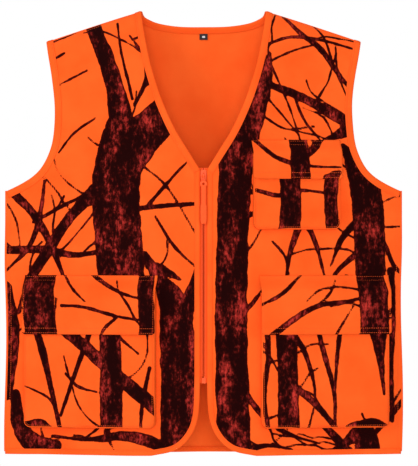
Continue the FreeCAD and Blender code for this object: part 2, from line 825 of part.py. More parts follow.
label = box_node(
    "size_label", size("label_width"), size("label_cloth"), size("label_height"), Vector()
)
FINE = 1000  # steps round the shoulder when the label's place is looked for
hang = next(d / FINE for d in range(FINE) if cloth_at(0, d / FINE).z < -SIZES["label_drop"])
lean_out = cloth_out(0, hang)
label_face = cloth_at(0, hang) - lean_out * (GAP + BIND + SIZES["label_room"])
tilt = math.degrees(math.atan2(lean_out.z, -lean_out.y))
half_label = Vector(SIZES["label_width"] / 2, 0, SIZES["label_height"] / 2)
label_turn = Rotation(Vector(1, 0, 0), tilt)
label.Placement = Placement(
    Vector(0, -label_face.y, label_face.z) - label_turn.multVec(half_label)
    - label_turn.multVec(Vector(0, SIZES["label_cloth"], 0)),
    label_turn,
)

# ---------------------------------------------------------------- write the sub-parts

doc.recompute()
for item in doc.Objects:
    if {"Invalid", "Error"} & set(item.State):
        raise RuntimeError(f"{item.Label} did not compute: {item.State}")
for node in nodes:
    if node.Shape.isNull() or not node.Shape.isValid():
        raise RuntimeError(f"{node.Label} has no valid shape")
os.makedirs("parts", exist_ok=True)
for node in nodes:
    node.Shape.exportStep(f"parts/{node.Label}.step")
    shape_box = node.Shape.BoundBox
    print(
        f"{node.Label:34s} solids {len(node.Shape.Solids)} volume {node.Shape.Volume:9.1f}"
        f" x {shape_box.XMin:7.1f} {shape_box.XMax:7.1f} y {shape_box.YMin:6.1f}"
        f" {shape_box.YMax:6.1f} z {shape_box.ZMin:7.1f} {shape_box.ZMax:7.1f}"
    )
print(len(nodes), "sub-parts")
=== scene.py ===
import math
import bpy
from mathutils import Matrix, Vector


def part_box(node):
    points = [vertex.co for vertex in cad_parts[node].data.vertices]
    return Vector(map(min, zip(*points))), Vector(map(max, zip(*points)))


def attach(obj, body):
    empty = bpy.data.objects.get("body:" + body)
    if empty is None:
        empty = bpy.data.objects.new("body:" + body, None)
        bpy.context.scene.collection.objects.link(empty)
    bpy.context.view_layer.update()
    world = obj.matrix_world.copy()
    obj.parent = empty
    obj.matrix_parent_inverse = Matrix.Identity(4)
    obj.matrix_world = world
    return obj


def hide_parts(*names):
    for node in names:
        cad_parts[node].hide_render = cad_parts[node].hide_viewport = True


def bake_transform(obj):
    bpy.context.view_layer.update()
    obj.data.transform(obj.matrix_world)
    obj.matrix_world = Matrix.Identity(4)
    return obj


bl_info = {
    "name": "Blaze Orange Field Vest",
    "version": (1, 0, 0),
    "blender": (4, 5, 0),
    "location": "View3D > Sidebar > Vest",
    "description": "Builds a zip-front field vest with cargo pockets on its packed frame",
    "category": "Object",
}

import bmesh
import bpy
import mathutils
import numpy as np

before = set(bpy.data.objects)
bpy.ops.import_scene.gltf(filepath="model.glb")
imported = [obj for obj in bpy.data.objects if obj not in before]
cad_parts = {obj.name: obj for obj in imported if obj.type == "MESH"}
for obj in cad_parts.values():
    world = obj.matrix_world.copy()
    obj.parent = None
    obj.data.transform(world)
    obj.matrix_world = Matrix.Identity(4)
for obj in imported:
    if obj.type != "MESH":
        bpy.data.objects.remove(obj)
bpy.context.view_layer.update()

MM = 0.001
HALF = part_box("back_panel")[1][0]
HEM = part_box("left_front_binding")[0][2]
DEPTH = 0.050
ROUND = 0.35
TURN = 0.150
SLOPE = 0.349
NECK_SOFT = 0.060
NECK_POINT = 0.0926
ZIP_TOP = -0.232
EDGE_X = 0.0049
CORNER_X = 0.076
CLOTH = 0.0012
BESIDE = 0.006  # from a seam to its topstitching

# Free edges of the wearer's left half, as (x, z) in millimetres from the neck point.
ARMHOLE = (
    (234, -24), (229, -58), (222.5, -95), (218, -134), (219, -167), (224, -198),
    (235, -224), (249, -240), (270, -253), (300, -267),
)
FRONT_NECK = (
    (93, 16), (88.5, -20), (80.5, -63), (72, -96), (59, -134), (41, -173), (19, -209),
    (4.9, -232),
)
FRONT_CORNER = (
    (4.9, -533), (6, -575), (9.5, -599), (17, -617), (30, -633), (47, -643), (76, -649),
)
BACK_NECK = (
    (93, 16), (88.5, -3), (81.5, -9), (65, -15), (36, -19), (0, -19.6), (-36, -19), (-65, -15),
    (-81.5, -9), (-88.5, -3), (-93, 16),
)

# Trunks and branches of the print, each a run of (x, z, width) in millimetres.
PRINT = {
    "right_front": (
        ((-166, 14, 24), (-160, -24, 23), (-145, -62, 24), (-130, -110, 27), (-120, -160, 36)),
        ((-44, -128, 40), (-62, -156, 52), (-92, -186, 60), (-122, -222, 72), (-128, -270, 70),
         (-124, -330, 68), (-118, -410, 66)),
        ((-120, -150, 30), (-128, -190, 44), (-132, -240, 60)),
        ((-86, -356, 12), (-64, -392, 22), (-44, -430, 42), (-37, -500, 52), (-36, -580, 52),
         (-38, -670, 50)),
        ((-2, -360, 8), (-16, -404, 16), (-32, -456, 32)),
        ((-300, -350, 11), (-240, -348, 12), (-190, -356, 11), (-140, -350, 12)),
        ((-160, -262, 20), (-196, -302, 16), (-226, -346, 17), (-254, -392, 18), (-272, -440, 14)),
        ((-282, -262, 13), (-250, -296, 13), (-226, -336, 11), (-208, -380, 9), (-198, -410, 7)),
        ((-232, -244, 4), (-240, -296, 7), (-256, -344, 9), (-290, -380, 7)),
        ((-250, -308, 4), (-206, -284, 6), (-160, -262, 9)),
        ((-298, -268, 3), (-276, -304, 3.5), (-268, -352, 4)),
        ((-150, 8, 16), (-190, -26, 7), (-222, -44, 4)),
        ((-204, -60, 4), (-224, -72, 3)), ((-170, -86, 3), (-212, -108, 4)),
        ((-158, -156, 3), (-190, -178, 4), (-212, -206, 4)),
        ((-92, -288, 8), (-50, -284, 7), (14, -280, 9)),
        ((-84, -288, 6), (-46, -244, 5), (-14, -210, 3)),
        ((-88, -226, 3.5), (-52, -258, 4), (-12, -324, 4)),
        ((-70, -300, 4), (-42, -344, 5), (-4, -380, 5)),
        ((-126, -14, 3), (-120, -60, 4), (-104, -128, 8)),
        ((-108, -34, 3), (-87, -66, 5), (-84, -100, 8), (-100, -136, 12)),
        ((-80, -372, 12), (-52, -382, 12), (-34, -392, 10)),
        ((-292, -404, 20), (-284, -470, 26), (-290, -560, 20)),
        ((-276, -560, 14), (-270, -604, 22), (-250, -632, 28), (-216, -636, 16)),
        ((-222, -622, 5), (-170, -626, 6), (-120, -620, 14), (-84, -626, 18), (-52, -640, 16)),
        ((-130, -640, 3), (-142, -612, 6), (-110, -604, 6)),
    ),
    "left_front": (
        ((96, -62, 6), (88, -100, 24), (70, -142, 44), (52, -196, 52), (45, -262, 48),
         (42, -350, 46), (40, -450, 46), (42, -560, 48), (46, -670, 50)),
        ((204, -196, 8), (222, -226, 30), (237, -262, 46), (243, -320, 46), (246, -400, 44)),
        ((92, -48, 4), (128, -36, 5), (172, -40, 6), (228, -56, 7)),
        ((84, -80, 3), (128, -58, 4), (166, -46, 5)),
        ((116, 0, 5), (142, -30, 7), (170, -52, 9), (196, -88, 10), (220, -118, 12)),
        ((150, -4, 3), (176, -36, 3.5), (190, -76, 4), (204, -110, 4)),
        ((84, -104, 9), (120, -116, 12), (156, -132, 13), (192, -152, 16), (228, -172, 18)),
        ((92, -66, 3.5), (106, -96, 4), (126, -142, 4), (142, -192, 5)),
        ((88, -122, 3), (110, -146, 3.5), (140, -182, 4)),
        ((134, -128, 4), (148, -160, 4), (172, -190, 5)),
        ((88, -154, 3), (120, -172, 4), (162, -168, 3)),
        ((228, -160, 22), (206, -176, 18), (176, -188, 10)),
        ((56, -262, 7), (96, -270, 8), (132, -292, 10), (160, -330, 10), (178, -392, 8)),
        ((62, -300, 8), (104, -282, 6), (150, -262, 5)),
        ((236, -296, 12), (204, -330, 10), (186, -372, 7)),
        ((148, -272, 10), (140, -310, 11), (126, -352, 9), (120, -392, 8)),
        ((100, -336, 3.5), (118, -358, 4), (124, -384, 4)),
        ((222, -356, 9), (196, -380, 7), (184, -400, 6)),
        ((258, -236, 5), (276, -262, 6), (296, -272, 7)),
        ((262, -330, 6), (280, -372, 7), (298, -386, 8)),
        ((276, -380, 12), (278, -450, 11), (274, -520, 11), (276, -600, 12)),
        ((60, -440, 6), (76, -420, 6), (92, -400, 5)),
        ((62, -560, 10), (88, -592, 8), (126, -618, 8), (170, -632, 6)),
        ((60, -640, 12), (92, -634, 7), (130, -640, 6)),
        ((168, -660, 6), (204, -634, 12), (236, -618, 30), (240, -672, 44)),
        ((160, -590, 8), (192, -622, 12), (214, -650, 20)),
        ((300, -560, 8), (270, -596, 9), (244, -624, 14)),
    ),
    "lower_right_flap": (
        ((-240, -370, 44), (-238, -430, 46), (-232, -490, 48)),
        ((-204, -384, 4), (-192, -402, 4), (-170, -424, 5)),
        ((-204, -430, 5), (-172, -432, 5), (-128, -444, 6), (-84, -452, 7)),
        ((-168, -380, 6), (-136, -402, 6), (-104, -416, 5), (-80, -420, 5)),
        ((-84, -370, 24), (-80, -430, 24), (-78, -490, 23)),
        ((-122, -446, 5), (-140, -462, 5), (-150, -480, 5)),
    ),
    "lower_right_face": (
        ((-261, -400, 9), (-248, -450, 9), (-232, -500, 12), (-218, -560, 10), (-205, -620, 14)),
        ((-145, -400, 8), (-158, -450, 8), (-178, -510, 9), (-206, -590, 10)),
        ((-262, -400, 18), (-210, -456, 18), (-166, -494, 18), (-128, -528, 20), (-50, -592, 22)),
        ((-138, -400, 30), (-136, -450, 30), (-132, -520, 32), (-132, -620, 34)),
        ((-171, -400, 6), (-140, -450, 6), (-120, -476, 6), (-92, -500, 7)),
        ((-262, -612, 22), (-236, -604, 16), (-216, -612, 8)),
        ((-76, -520, 5), (-86, -570, 7), (-90, -620, 8)),
        ((-198, -530, 5), (-180, -548, 5), (-152, -556, 4)),
    ),
    "lower_left_flap": (
        ((244, -370, 42), (246, -430, 42), (248, -490, 44)),
        ((78, -430, 4), (112, -412, 6), (146, -382, 5)),
        ((86, -482, 10), (128, -450, 9), (164, -430, 8), (206, -424, 8), (240, -416, 7)),
        ((156, -434, 4), (178, -416, 4), (192, -394, 3)),
        ((186, -480, 4), (200, -456, 4), (216, -430, 3)),
        ((212, -484, 6), (244, -462, 10), (280, -430, 13)),
    ),
    "lower_left_face": (
        ((117, -400, 32), (118, -450, 32), (120, -530, 30), (122, -620, 32)),
        ((152, -400, 7), (164, -462, 7), (176, -510, 8), (188, -560, 9), (190, -612, 10)),
        ((204, -400, 8), (198, -460, 8), (192, -510, 7), (188, -560, 8)),
        ((134, -550, 10), (166, -580, 10), (204, -624, 12)),
        ((220, -620, 40), (246, -612, 34), (266, -620, 24)),
        ((94, -400, 10), (128, -470, 10), (146, -500, 8), (160, -560, 6), (150, -612, 6)),
        ((249, -400, 30), (252, -450, 30), (256, -500, 18), (262, -560, 8)),
        ((85, -400, 10), (88, -450, 10), (92, -500, 8), (86, -560, 10), (92, -612, 14)),
    ),
    "chest_pocket_flap": (
        ((138, -182, 28), (138, -215, 28), (140, -252, 30)),
        ((72, -186, 6), (104, -214, 7), (150, -226, 6), (198, -228, 6)),
        ((172, -186, 9), (160, -200, 12), (148, -214, 10)),
        ((180, -246, 18), (196, -236, 12)),
    ),
    "chest_pocket_face": (
        ((123, -200, 30), (124, -235, 30), (125, -280, 31), (124, -322, 33)),
        ((187, -200, 22), (186, -235, 22), (184, -280, 20), (188, -322, 22)),
        ((76, -262, 6), (110, -270, 7), (140, -262, 6), (180, -266, 7)),
    ),
    "back": (
        ((-196, 20, 30), (-186, -90, 40), (-196, -220, 52), (-188, -380, 50), (-196, -520, 54),
         (-192, -670, 56)),
        ((-60, -10, 26), (-72, -120, 34), (-60, -260, 40), (-74, -420, 42), (-70, -670, 46)),
        ((86, 20, 36), (92, -110, 46), (78, -250, 56), (90, -400, 54), (82, -540, 60),
         (88, -670, 62)),
        ((206, 10, 22), (214, -150, 30), (208, -330, 38), (218, -500, 36), (212, -670, 42)),
        ((-180, -210, 20), (-134, -180, 14), (-90, -120, 10), (-40, -84, 8)),
        ((82, -260, 22), (40, -210, 16), (-6, -180, 10), (-44, -190, 8)),
        ((90, -360, 18), (140, -320, 13), (186, -300, 10), (250, -250, 8)),
        ((-62, -440, 16), (-20, -400, 12), (30, -390, 9), (66, -360, 8)),
        ((-190, -470, 16), (-230, -430, 12), (-276, -410, 8)),
        ((-190, -560, 14), (-140, -520, 10), (-96, -480, 8)),
        ((-4, -300, 10), (2, -420, 13), (-6, -540, 14), (2, -665, 18)),
        ((150, -420, 10), (146, -540, 13), (152, -665, 16)),
        ((270, -280, 12), (262, -420, 15), (268, -560, 16), (262, -665, 20)),
        ((-262, -290, 14), (-266, -420, 14), (-258, -560, 18), (-264, -665, 20)),
        ((90, -90, 14), (130, -60, 10), (170, -56, 8)),
    ),
}
# How many small twigs each part of the print has.
TWIGS = {
    "right_front": 34, "left_front": 34, "back": 100, "lower_right_flap": 6,
    "lower_right_face": 10, "lower_left_flap": 6, "lower_left_face": 10,
    "chest_pocket_flap": 3, "chest_pocket_face": 3,
}


def smooth(t):
    t = np.clip(t, 0, 1)
    return t * t * (3 - 2 * t)


def through(points, per_span=14):
    """A smooth line through points, of any number of coordinates."""
    p = np.array(points, float)
    p = np.vstack([2 * p[0] - p[1], p, 2 * p[-1] - p[-2]])
    t = np.linspace(0, 1, per_span, endpoint=False)[:, None]
    spans = []
    for a, b, c, d in zip(p[:-3], p[1:-2], p[2:-1], p[3:]):
        spans.append(
            0.5 * (2 * b + (c - a) * t + (2 * a - 5 * b + 4 * c - d) * t**2
                   + (3 * b - a - 3 * c + d) * t**3)
        )
    return np.vstack([*spans, p[-2:-1]])


ARM_LINE = through(ARMHOLE) * MM
FRONT_LINE = np.vstack([through(FRONT_NECK), through(FRONT_CORNER)]) * MM
NECK_LINE = through(FRONT_NECK) * MM
BACK_NECK_LINE = through(BACK_NECK) * MM


# ------------------------------------------------------------------ the hanging cloth


def shoulder_z(x):
    return -SLOPE * (np.hypot(x, NECK_SOFT) - math.hypot(NECK_POINT, NECK_SOFT))


def fullness(x):
    """1 at centre front or back, 0 at the side seam."""
    top = math.hypot(1, ROUND)
    return (top - np.hypot(x / HALF, ROUND)) / (top - ROUND)


def turn_angle(x, z):
    """How far the cloth has turned down from the shoulder seam, up to a right angle."""
    return np.arccos(np.clip(1 - (shoulder_z(x) - z) / TURN, 0, 1))


def folds(side, x, z):
    """How far soft folds lift the cloth; none at the seams and beside the zip."""
    free = smooth((HALF - abs(x)) / 0.05) * smooth((shoulder_z(x) - z) / 0.07)
    free = free * np.where(side < 0, smooth((abs(x) - 0.014) / 0.05), 1.0)
    hem = 0.0030 * np.sin(x * 31 + 0.8 * side) * smooth((-z - 0.36) / 0.25)
    hem += 0.0015 * np.sin(x * 67 + 2.1) * smooth((-z - 0.5) / 0.15)
    slant = np.sin((abs(x) * 0.75 + z) * 62 + 0.6 * np.sin(x * 9))
    slant = 0.0017 * slant * np.exp(-(((z + 0.215) / 0.11) ** 2)) * smooth((abs(x) - 0.05) / 0.1)
    chest = 0.0013 * np.sin(x * 23 - z * 17 + 1.3 * side) + 0.0009 * np.sin(x * 41 + z * 29)
    return free * (hem + slant + chest)


def on_cloth(side, x, z, out=0.0):
    """Point and outward direction on the cloth; side is -1 for the front and 1 for the back."""
    x, z, side, out = np.broadcast_arrays(*(np.asarray(v, float) for v in (x, z, side, out)))
    angle = turn_angle(x, z)
    full = fullness(x)
    step = 1e-4
    full_slope = (fullness(x + step) - fullness(x - step)) / (2 * step)
    top_slope = (shoulder_z(x + step) - shoulder_z(x - step)) / (2 * step)
    straight = angle >= math.pi / 2 - 1e-6
    drop = np.stack([0 * x, DEPTH * full * np.cos(angle), -TURN * np.sin(angle)], -1)
    drop[..., 2] = np.minimum(drop[..., 2], -1e-9)
    along = np.stack(
        [1 + 0 * x, DEPTH * full_slope * np.sin(angle), np.where(straight, 0, top_slope)], -1
    )
    normal = np.cross(along, drop)
    normal /= np.linalg.norm(normal, axis=-1, keepdims=True)
    # The side seams sway a little, the front and the back together.
    sway = 0.0016 * np.sin(z * 21 + np.sign(x)) * (abs(x) / HALF) ** 6 * smooth((-z - 0.3) / 0.1)
    point = np.stack([x + sway, DEPTH * full * np.sin(angle), z], -1)
    point = point + normal * (folds(side, x, z) + out)[..., None]
    point[..., 1] *= side
    normal[..., 1] *= side
    return point, normal


def arc(full, angle):
    """Length of cloth from the shoulder seam round to an angle of the turn."""
    steps = 12
    a = angle[..., None] * (np.arange(steps) + 0.5) / steps
    speed = np.hypot(DEPTH * full[..., None] * np.cos(a), TURN * np.sin(a))
    return speed.mean(-1) * angle


def run_of(side, x, z):
    """Length of cloth below the shoulder seam: positive on the front, negative on the back."""
    below = np.maximum(shoulder_z(x) - TURN - z, 0)
    return -side * (arc(fullness(x), turn_angle(x, z)) + below)


def on_run(x, run, out=0.0):
    """Point and outward direction at a signed length of cloth below the shoulder seam."""
    full, length = fullness(x), abs(run)
    low, high = np.zeros_like(x), np.full_like(x, math.pi / 2)
    total = arc(full, high)
    for _ in range(22):
        middle = (low + high) / 2
        short = arc(full, middle) < length
        low, high = np.where(short, middle, low), np.where(short, high, middle)
    z = shoulder_z(x) - TURN * (1 - np.cos(low)) - np.maximum(length - total, 0)
    return on_cloth(np.where(run < 0, 1, -1), x, z, out)


def unrolled(x, z):
    """Height as measured along the cloth, so that the print keeps its size over the shoulder."""
    total = arc(fullness(x), np.full_like(x, math.pi / 2))
    return shoulder_z(x) - TURN + total - abs(run_of(-1, x, z))


# ------------------------------------------------------------------ meshes


def grid_faces(rows, columns, start=0):
    i = np.arange(rows - 1)[:, None] * columns + np.arange(columns - 1)[None, :] + start
    return np.stack([i, i + 1, i + columns + 1, i + columns], -1).reshape(-1, 4)


def rim(rows, columns):
    """Indices round the edge of a grid, in order."""
    top = np.arange(columns)
    right = np.arange(1, rows) * columns + columns - 1
    bottom = np.arange(columns - 2, -1, -1) + (rows - 1) * columns
    left = np.arange(rows - 2, 0, -1) * columns
    return np.concatenate([top, right, bottom, left])


class Pile:
    """Points and faces gathered for one mesh, with its print and weave coordinates."""

    def __init__(self):
        self.points, self.faces, self.slots = [], [], []
        self.marks = {"ink": [], "lay": []}
        self.count = 0

    def add(self, points, faces, slot=0, lay=None, ink=None):
        points = np.asarray(points, float).reshape(-1, 3)
        size = len(points)
        self.points.append(points)
        self.faces += [tuple(int(i) + self.count for i in face) for face in faces]
        slots = np.full(len(faces), slot) if np.isscalar(slot) else np.asarray(slot)
        self.slots.append(slots)
        self.marks["lay"].append(points if lay is None else np.reshape(lay, (-1, 3)))
        self.marks["ink"].append(np.full(size, -0.03) if ink is None else np.ravel(ink))
        self.count += size

    def shell(self, outer, inner, lay, ink=None):
        """Closed thin sheet between two grids of points; inside faces take slot 1."""
        rows, columns = outer.shape[:2]
        size = rows * columns
        edge = rim(rows, columns)
        after = np.roll(edge, -1)
        wall = np.stack([edge, edge + size, after + size, after], -1)
        faces = np.vstack([grid_faces(rows, columns), grid_faces(rows, columns, size), wall])
        slots = np.zeros(len(faces), int)
        slots[(rows - 1) * (columns - 1):2 * (rows - 1) * (columns - 1)] = 1
        points = np.concatenate([outer.reshape(-1, 3), inner.reshape(-1, 3)])
        ink = None if ink is None else np.concatenate([ink, ink])
        self.add(points, faces, slots, np.concatenate([lay, lay]), ink)

    def stitches(self, spots, normals, slot):
        """A row of short threads along evenly spaced spots on the cloth."""
        pitch = look().stitch
        path = np.concatenate([[0], np.cumsum(np.linalg.norm(np.diff(spots, axis=0), axis=1))])
        count = int(path[-1] / pitch)
        if count < 2:
            return
        at = (np.arange(count) + 0.5) * path[-1] / count
        centre = np.stack([np.interp(at, path, spots[:, k]) for k in range(3)], -1)
        ahead = np.stack([np.interp(at + 4e-4, path, spots[:, k]) for k in range(3)], -1)
        behind = np.stack([np.interp(at - 4e-4, path, spots[:, k]) for k in range(3)], -1)
        up = np.stack([np.interp(at, path, normals[:, k]) for k in range(3)], -1)
        along = ahead - behind
        along /= np.linalg.norm(along, axis=1, keepdims=True)
        across = np.cross(up, along)
        across /= np.linalg.norm(across, axis=1, keepdims=True)
        shape = np.array(THREAD) * (pitch * 0.8, THREAD_RADIUS, THREAD_RADIUS)
        axes = np.stack([along, across, up], 1)
        points = centre[:, None] + shape @ axes
        faces = np.array(THREAD_FACES, dtype=object)
        every = [tuple(i + 10 * n for i in face) for n in range(count) for face in faces]
        self.add(points, every, slot)

    def build(self, name, *materials):
        mesh = bpy.data.meshes.new(name)
        mesh.from_pydata(np.vstack(self.points).tolist(), [], self.faces)
        for key, values in self.marks.items():
            values = np.concatenate(values).astype(np.float32)
            kind = "FLOAT" if values.ndim == 1 else "FLOAT_VECTOR"
            attribute = mesh.attributes.new(key, kind, "POINT")
            attribute.data.foreach_set("value" if kind == "FLOAT" else "vector", values.ravel())
        mesh.polygons.foreach_set("material_index", np.concatenate(self.slots).astype(np.int32))
        for material in materials:
            mesh.materials.append(bpy.data.materials[material])
        surface = bmesh.new()
        surface.from_mesh(mesh)
        bmesh.ops.recalc_face_normals(surface, faces=surface.faces)
        surface.to_mesh(mesh)
        surface.free()
        mesh.polygons.foreach_set("use_smooth", [True] * len(mesh.polygons))
        mesh.update()
        obj = bpy.data.objects.new(name, mesh)
        bpy.context.scene.collection.objects.link(obj)
        return obj


THREAD_RADIUS = 0.00030
THREAD = (
    (-0.5, 0, -0.8), (-0.3, 0, 1), (-0.3, 1, 0), (-0.3, 0, -1), (-0.3, -1, 0),
    (0.3, 0, 1), (0.3, 1, 0), (0.3, 0, -1), (0.3, -1, 0), (0.5, 0, -0.8),
)
THREAD_FACES = (
    (0, 1, 2), (0, 2, 3), (0, 3, 4), (0, 4, 1), (1, 5, 6, 2), (2, 6, 7, 3), (3, 7, 8, 4),
    (4, 8, 5, 1), (9, 6, 5), (9, 7, 6), (9, 8, 7), (9, 5, 8),
)


def stand_in(obj, node, body="vest"):
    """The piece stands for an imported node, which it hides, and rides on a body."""
    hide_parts(node)
    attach(obj, body)


def tube_faces(count, around):
    """Sides of a tube of count sections with around points each."""
    i = np.arange(count - 1)[:, None] * around + np.arange(around)[None, :]
    j = np.arange(count - 1)[:, None] * around + (np.arange(around)[None, :] + 1) % around
    return np.stack([i, j, j + around, i + around], -1).reshape(-1, 4).tolist()


def rounded(half, radius, gap):
    """Half width at a distance from an end whose corners are rounded."""
    into = np.clip(radius - gap, 0, radius)
    return half - radius + np.sqrt(np.maximum(radius**2 - into**2, 0))


# ------------------------------------------------------------------ the print


THICK = 15  # strokes that end thinner than this taper off, in millimetres
FINEST = 3.0  # no stroke is drawn narrower than this, in millimetres


def twigs(rng, region, strokes):
    """Small shoots that leave the sides of the trunks and wander off."""
    made = []
    strong = [stroke for stroke in strokes if max(w for _, _, w in stroke) > 10] or strokes
    for _ in range(TWIGS[region]):
        stroke = np.array(strong[rng.integers(len(strong))], float)
        k = rng.integers(len(stroke) - 1)
        spot = stroke[k] + (stroke[k + 1] - stroke[k]) * rng.random()
        heading = rng.choice([-1, 1]) * rng.uniform(0.35, 1.35)
        width = rng.uniform(2.8, 4.8)
        x, z = spot[0], spot[1]
        run = []
        for _ in range(rng.integers(4, 8)):
            run.append((x, z, width))
            reach = rng.uniform(12, 26)
            x += reach * math.sin(heading)
            z += reach * math.cos(heading)
            heading += rng.uniform(-0.5, 0.5)
            width = max(2.5, width * 0.88)
        made.append(run)
    return made


def ink(region, x, z):
    """Depth inside the nearest painted branch, in metres; below zero on the plain cloth."""
    shape = x.shape
    px, pz = x.ravel() / MM, z.ravel() / MM
    depth = np.full(px.shape, -30.0)
    seed = sum(ord(c) * (i + 3) for i, c in enumerate(region))
    rng = np.random.default_rng(seed)
    strokes = list(PRINT[region])
    strokes += twigs(rng, region, strokes)
    for stroke in strokes:
        line = through(stroke, 6)
        line[:, 2] *= rng.uniform(0.95, 1.05, len(line))
        if stroke[-1][2] < THICK:
            line[:, 2] *= np.clip(1.1 * (1 - np.arange(len(line)) / len(line)) + 0.42, 0, 1)
        line[:, 2] = np.maximum(line[:, 2], FINEST)
        widest = line[:, 2].max()
        low, high = line[:, :2].min(0) - widest - 6, line[:, :2].max(0) + widest + 6
        near = np.flatnonzero((px > low[0]) & (px < high[0]) & (pz > low[1]) & (pz < high[1]))
        if not len(near):
            continue
        spots = np.stack([px[near], pz[near]], -1)
        for a, b in zip(line[:-1], line[1:]):
            step = b[:2] - a[:2]
            away = spots - a[:2]
            t = np.clip(away @ step / max(step @ step, 1e-9), 0, 1)
            miss = away - t[:, None] * step
            gap = (a[2] + (b[2] - a[2]) * t) / 2 - np.hypot(miss[:, 0], miss[:, 1])
            depth[near] = np.maximum(depth[near], gap)
    return (depth * MM).reshape(shape)


# ------------------------------------------------------------------ materials


def add(tree, kind, **values):
    node = tree.nodes.new(kind)
    for key, value in values.items():
        if hasattr(node, key):
            setattr(node, key, value)
        else:
            node.inputs[key].default_value = value
    return node


def group(name, inputs, outputs):
    tree = bpy.data.node_groups.new(name, "ShaderNodeTree")
    for label, kind, default in inputs:
        socket = tree.interface.new_socket(label, in_out="INPUT", socket_type=kind)
        if default is not None:
            socket.default_value = default
    for label, kind in outputs:
        tree.interface.new_socket(label, in_out="OUTPUT", socket_type=kind)
    return tree, tree.nodes.new("NodeGroupInput"), tree.nodes.new("NodeGroupOutput")


def ramp(tree, source, stops):
    node = add(tree, "ShaderNodeValToRGB")
    while len(node.color_ramp.elements) < len(stops):
        node.color_ramp.elements.new(1)
    for element, (at, colour) in zip(node.color_ramp.elements, stops):
        element.position = at
        element.color = (*colour, 1)
    tree.links.new(source, node.inputs["Fac"])
    return node.outputs["Color"]


def maths(tree, operation, *items):
    node = add(tree, "ShaderNodeMath", operation=operation)
    for socket, item in zip(node.inputs, items):
        if isinstance(item, (int, float)):
            socket.default_value = item
        else:
            tree.links.new(item, socket)
    return node.outputs[0]


def mix(tree, factor, a, b):
    node = add(tree, "ShaderNodeMix", data_type="RGBA")
    for key, item in ((0, factor), (6, a), (7, b)):
        if isinstance(item, (int, float)):
            node.inputs[key].default_value = item
        elif isinstance(item, tuple):
            node.inputs[key].default_value = (*item, 1)
        else:
            tree.links.new(item, node.inputs[key])
    return node.outputs[2]


def noise(tree, vector, scale, detail=3.0, roughness=0.55):
    node = add(tree, "ShaderNodeTexNoise", Scale=scale, Detail=detail, Roughness=roughness)
    tree.links.new(vector, node.inputs["Vector"])
    return node.outputs["Fac"]


def stretched(tree, vector, scale):
    node = add(tree, "ShaderNodeMapping")
    node.inputs["Scale"].default_value = scale
    tree.links.new(vector, node.inputs["Vector"])
    return node.outputs["Vector"]


def make_knit():
    """Fine ribs of a brushed knit: a height and a slight change of shade."""
    tree, given, out = group(
        "brushed_knit", [("Vector", "NodeSocketVector", None), ("Pitch", "NodeSocketFloat", 900.0)],
        [("Height", "NodeSocketFloat"), ("Shade", "NodeSocketFloat")],
    )
    scaled = add(tree, "ShaderNodeVectorMath", operation="SCALE")
    tree.links.new(given.outputs["Vector"], scaled.inputs[0])
    tree.links.new(given.outputs["Pitch"], scaled.inputs["Scale"])
    waves = []
    for direction, bands in (("X", 1.0), ("Z", 0.7)):
        wave = add(tree, "ShaderNodeTexWave", bands_direction=direction, Scale=bands, Distortion=0.6)
        tree.links.new(scaled.outputs[0], wave.inputs["Vector"])
        waves.append(wave.outputs["Fac"])
    ribs = maths(tree, "MULTIPLY", *waves)
    fuzz = noise(tree, given.outputs["Vector"], 700.0, 2.0)
    height = maths(tree, "ADD", maths(tree, "MULTIPLY", ribs, 0.6), maths(tree, "MULTIPLY", fuzz, 0.5))
    cloud = noise(tree, given.outputs["Vector"], 18.0, 4.0)
    tree.links.new(height, out.inputs["Height"])
    tree.links.new(cloud, out.inputs["Shade"])
    return tree


